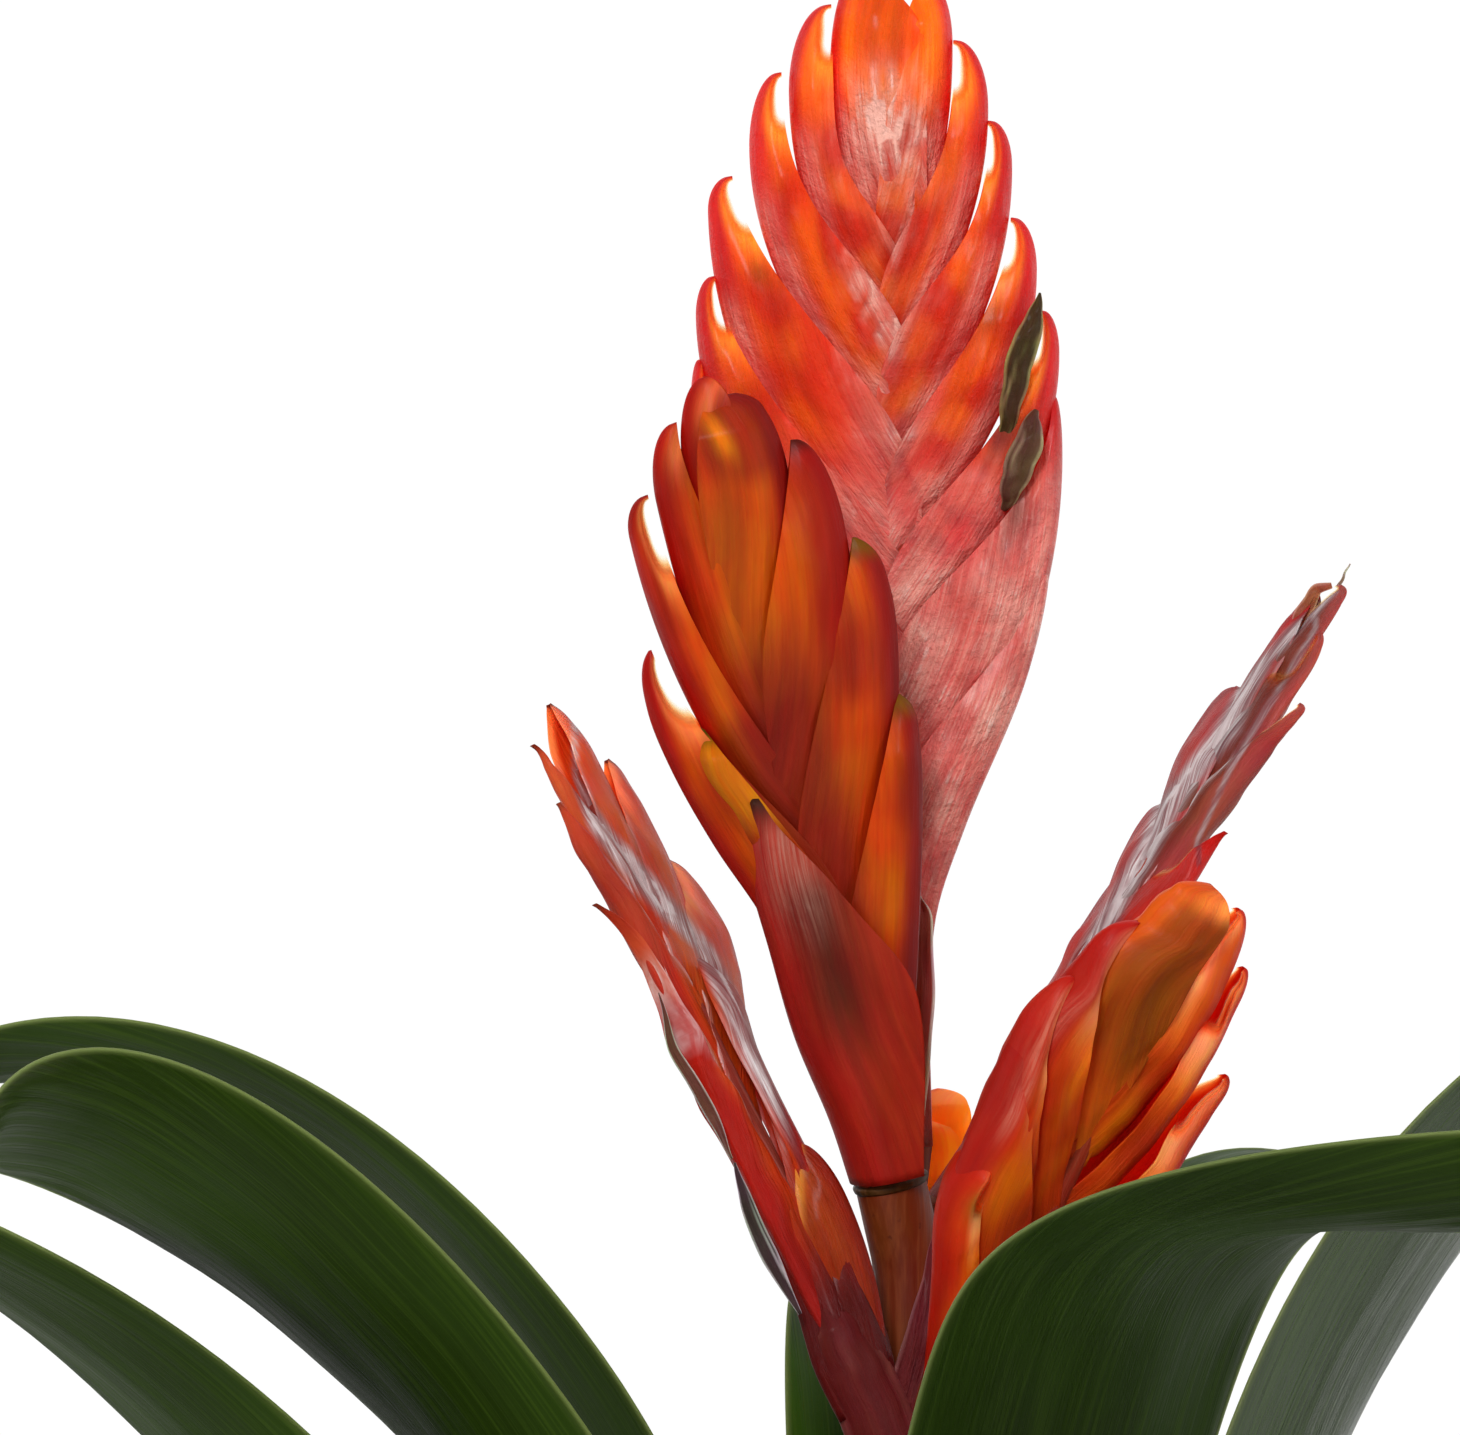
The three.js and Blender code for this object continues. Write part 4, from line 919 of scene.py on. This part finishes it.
def make_spike(name, paint, skin):
    """One mesh of a stalk, which narrows towards the tip, and its bracts."""
    s = SPIKES[name]
    a, e, n = axes(s)
    long = np.linalg.norm(np.subtract(s.tip, s.base))
    k = np.linspace(0, 0.86, 40)[:, None]
    radius = np.interp(k, [0, 0.15, 0.5, 0.86], [s.neck, s.neck * 0.8, 2.6, 1.4])
    w = circle(24)[:, None]
    spokes = e * np.cos(w) + n * np.sin(w)
    grid = s.base + (a * (0.3 + k * long))[:, None] + spokes[None] * radius[..., None]
    zero = np.zeros(grid.shape[:2])
    color = zero[..., None] + rgb(176, 52, 26)
    grain = np.stack([w.T * radius, k * long + zero, zero + 500], -1)
    sheets = Sheets()
    sheets.rings(grid, "fan", tint=color, sheen=zero + 0.1, clear=zero, grain=grain)
    for number in range(len(s.rows)):
        make_bract(sheets, name, s, number, paint)
    sheets.put(name + "_bracts", skin, "bract", name)


main_skin = bract_material("bract_main", rgb(252, 186, 168), 0.34, 0.8, 0.36, 0.95, 0.15, 0.2, 0.42)
front_skin = bract_material("bract_front", rgb(190, 136, 118), 0.46, 0.35, 0.28, 0.12, 0.04, 0.12)
side_skin = bract_material("bract_side", rgb(255, 250, 250), 0.32, 1.4, 0.4, 0.2, 0.1, 0.2)
ripe_skin = bract_material("bract_lower", rgb(240, 170, 140), 0.44, 0.5, 0.38, 0.2, 0.04, 0.15)
make_spike("spike_main", paint_main, main_skin)
make_spike("spike_front", paint_front, front_skin)
make_spike("spike_left", paint_left, side_skin)
make_spike("spike_right_upper", paint_right, side_skin)
make_spike("spike_right_lower", paint_lower, ripe_skin)
make_spike("spike_back", paint_back, ripe_skin)


# ------------ dry remains
def blade(sheets, path, thick, body, rim, seed):
    """A dry, curled shred through points [x, y, z, half width], flat side forward, paler along its rims."""
    p, rows = spread(path, 12 * len(path), 8)
    p[:, 0] += 0.25 * waves(seed, rows * 5, 0 * rows, 7)
    u, v = sideways(p)
    w, rows, half = circle(24)[None, :], rows[:, None], p[:, 3:]
    across, out = np.cos(w) * half, thick * np.sin(w) * np.minimum(1, 1.3 * half / half.max())
    out = out + 0.3 * waves(seed + 1, across * 3, rows * 6, 6) * np.minimum(1, half)
    grid = p[:, None, :3] + u[:, None, :] * across[..., None] + v[:, None, :] * out[..., None]
    zero = 0 * across
    pale = ramp(np.abs(np.cos(w)), 0.72, 0.92) + smooth(waves(seed + 2, across * 5, rows * 2, 9) - 0.5)
    grain = np.stack([across, rows * 8 + zero, zero + seed * 41], -1)
    tint = mix(rgb(*body), rgb(*rim), np.clip(pale, 0, 1))
    sheets.rings(grid, "fan", tint=tint, sheen=zero, clear=zero, grain=grain)


# Each strip: its path as above, its thickness, the colours of body and rims, and a seed.
REMAINS = {
    # withered flowers in the folds of the third and fifth bracts of the main spike
    "withered_flowers": [
        ([[22.2, 4.4, 381, 0.2], [21.3, 3.6, 378, 1.2], [20.1, 3, 374.4, 2.1], [18.8, 3, 370.6, 2.3],
            [17.9, 3.4, 366.6, 2.1], [17.2, 4, 362, 1.7], [16.2, 5.2, 358, 1.1], [15, 7, 355, 0.3]],
            1.3, (74, 50, 24), (172, 150, 96), 21),
        ([[21.2, 4.6, 362, 0.5], [20.7, 3.6, 359.4, 1.8], [19.8, 3, 356.2, 2.5], [18.4, 3, 352.4, 2.5],
            [17.2, 3.8, 349, 1.8], [16.3, 6, 346, 0.6]], 1.5, (100, 62, 44), (176, 148, 116), 22),
    ],
    # dry bracts: beside the front spike's foot, two down the left spike's outer edge, a dark one right of the
    # stem, and the tip of the upper right spike with the thread that stands out of it
    "dry_shreds": [
        ([[2.2, 2, 284, 0.2], [3, 2, 280, 1.6], [2.8, 2, 267, 2], [1.8, 2.6, 254.4, 2.2], [0.8, 4, 240, 2]],
            0.4, (170, 74, 64), (244, 234, 228), 31),
        ([[-39.6, -14, 268.4, 0.1], [-37, -14.6, 259, 0.9], [-31.4, -15.6, 249.4, 1.1],
            [-27.6, -16, 242, 0.2]], 0.35, (110, 62, 50), (210, 200, 194), 32),
        ([[-27.6, -16, 241.4, 0.2], [-25.6, -16.6, 234.6, 1.2], [-22, -17.6, 226.4, 1.5],
            [-17.2, -18, 217.4, 0.3]], 0.35, (74, 54, 54), (206, 200, 200), 33),
        ([[4.4, -11, 229, 0.2], [3.4, -12, 221, 1.4], [1.6, -13.4, 212, 2.3], [-0.8, -14.6, 203, 2.8],
            [-2.4, -15, 194, 2.2]], 1.2, (112, 26, 32), (160, 84, 90), 34),
        ([[71.4, 36, 334.2, 0.5], [69, 36, 333.6, 1], [66.8, 36, 330, 1.3], [65, 36, 326, 0.4]],
            0.4, (176, 96, 66), (216, 160, 136), 36),
        ([[72.6, 36.5, 334, 0.35], [73.8, 36.5, 335.9, 0.22], [74.6, 36.5, 337.8, 0.12]],
            0.2, (150, 120, 100), (214, 206, 196), 37),
    ],
    # a dark sheath wraps the foot of the left spike
    "sheath": [
        ([[0.5, -17, 188, 5.4], [-4.2, -15.2, 199.2, 5.8], [-7.6, -14, 206.8, 5.9], [-10.4, -13, 213, 5],
            [-13.4, -12, 219, 3], [-16.6, -11, 225, 0.4]], 5.6, (112, 28, 28), (150, 66, 66), 35),
    ],
}
husk = bract_material("dry_husk", rgb(200, 190, 180), 0.5, 1.5, 0.25, 0.6, 0.05, 0.2)
for name, strips in REMAINS.items():
    sheets = Sheets()
    for strip in strips:
        blade(sheets, *strip)
    sheets.put(name, ripe_skin if name == "sheath" else husk, "bract")


# ------------ stems
def tube(sheets, path, sides, steps, wave, seed=1):
    """A round stem through points [x, y, z, radius], smoothed, with a slight wave in its skin."""
    p, _ = spread(path, (len(path) - 1) * steps + 1, steps // 2)
    u, v = sideways(p)
    w = circle(sides)
    r = p[:, 3:] * (1 + wave * waves(seed, np.cos(w)[None, :] * 8, p[:, 2:3], 18))
    spokes = u[:, None, :] * np.cos(w)[None, :, None] + v[:, None, :] * np.sin(w)[None, :, None]
    sheets.rings(p[:, None, :3] + spokes * r[..., None], "fan")


# the height at which each spike's branch leaves the stem, and how far its knee is set to the side
BRANCHES = {
    "spike_main": (205, -2), "spike_front": (185, 0), "spike_left": (160, 0), "spike_right_lower": (165, 0),
    "spike_right_upper": (190, 0), "spike_back": (180, 0)}
stems = Sheets()
tube(stems, [[0, 0, 42.4, 6.2], [0, 0, 120, 6], [0, 2, 185, 5.8], [0, 5, 210, 5]], 40, 24, 0.03)
for name, (z, shift) in BRANCHES.items():
    s = SPIKES[name]
    a, end, neck = axes(s)[0], np.asarray(s.base, float), s.neck
    knee = end - a * 14 + [shift, 0, 0]
    middle = [knee[0] / 2, knee[1] / 2, (z + knee[2]) / 2, neck * 0.95]
    tube(stems, [[0, 0, z, min(neck, 4.6)], middle, [*knee, neck], [*(end + a * 1.5), neck]], 32, 14, 0.02, z)

# a brown ring at the foot of the front spike: how far up the spike, and radius
ring = Sheets()
s = SPIKES["spike_front"]
along = axes(s)[0]
rows = [[*(s.base + along * up), r] for up, r in ((-1.3, 5.5), (-0.9, 6.1), (-0.1, 6.3), (0.6, 5.6))]
tube(ring, rows, 40, 8, 0.02, 8)
ring.put("ring", stem_material("ring_skin", rgb(46, 26, 8), rgb(78, 46, 12)), "stem")
stems.put("stems", stem_material("stem_skin", rgb(104, 28, 12), rgb(112, 52, 14)), "stem", "scape")

# the stock, cut flat below and ringed with old leaf scars: radius and height
STOCK = [
    [21, 0], [21.8, 0.5], [23, 1.5], [25.6, 3], [28, 5], [28.2, 6], [27.6, 7], [24, 11], [20, 18], [15.5, 27],
    [11, 35], [8.4, 39.6], [7.4, 42]]
profile, _ = spread(STOCK, 73, 0)
r, z = profile[:, :1], profile[:, 1:]
w = circle(96)
r = r - np.abs(np.sin(z * 1.1)) * 0.25 * smooth(z / 6)
r = r + 0.2 * waves(4, np.cos(w) * 20, np.sin(w) * 20 + z, 9) * smooth(z / 3)
stock = Sheets()
stock.rings(np.stack([r * np.cos(w), r * np.sin(w), z + 0 * w], -1), "fan")
stock.put("stock", stem_material("stock_skin", rgb(58, 50, 24), rgb(110, 92, 48), 0.75), "base", "stem_base")


# ------------ studio, in metres
def area(name, place, size, energy):
    """A round lamp that points at the middle of the flower."""
    data = bpy.data.lights.new(name, "AREA")
    data.shape, data.size, data.energy = "DISK", size, energy
    obj = bpy.data.objects.new(name, data)
    obj.location = place
    obj.rotation_euler = (Vector((0, 0, 0.31)) - Vector(place)).to_track_quat("-Z", "Y").to_euler()
    bpy.context.scene.collection.objects.link(obj)


area("key", (-0.3, -1.3, 1.05), 0.45, 16)
area("fill", (1.1, -0.9, 0.5), 0.8, 4)

# the camera sees plain white, and the plant is lit by a white that is stronger behind it than in front
WHITE = (1, 1, 1)
sky = Nodes(bpy.data.worlds.new("studio"))
bpy.context.scene.world = sky.owner
back = sky.node("SeparateXYZ", sky.node("TexCoord", out="Generated"), out="Y")
light = sky.node("Background", WHITE, sky.step(back, -0.35, 0.6, 0.3, 1.25))
seen = sky.node("Background", WHITE, 1.02)
camera_ray = sky.node("LightPath", out="Is Camera Ray")
sky.finish(sky.node("MixShader", camera_ray, light, seen), "OutputWorld")

bpy.ops.mesh.primitive_circle_add(vertices=128, radius=1.4, fill_type="NGON", location=(0, 0, -0.0002))
floor = bpy.context.object
floor.name = "floor"
paper = material("floor_paper")
uneven = paper.step(paper.noise(paper.node("TexCoord", out="Object"), (40, 40, 40)), 0.3, 0.7, 0.85, 0.95)
pale = principled(paper, (0.86, 0.86, 0.86), uneven, None, Specular_IOR_Level=0.2)
floor.data.materials.append(paper.finish(pale))

# the level camera: its distance from the stem in mm, and the pixels to a millimetre there
DISTANCE = 1300
PIXELS_PER_MM = 6.2
IMAGE_WIDTH = 1460
SENSOR = 36
cam = bpy.data.cameras.new("camera")
cam.sensor_width, cam.lens = SENSOR, SENSOR * DISTANCE * PIXELS_PER_MM / IMAGE_WIDTH
camera = bpy.data.objects.new("camera", cam)
camera.location = (-28.2 * MM, -DISTANCE * MM, 312.3 * MM)
camera.rotation_euler = (math.pi / 2, 0, 0)
bpy.context.scene.collection.objects.link(camera)
bpy.context.scene.camera = camera
bpy.context.scene.view_settings.view_transform = "Standard"
bpy.context.scene.view_settings.look = "None"
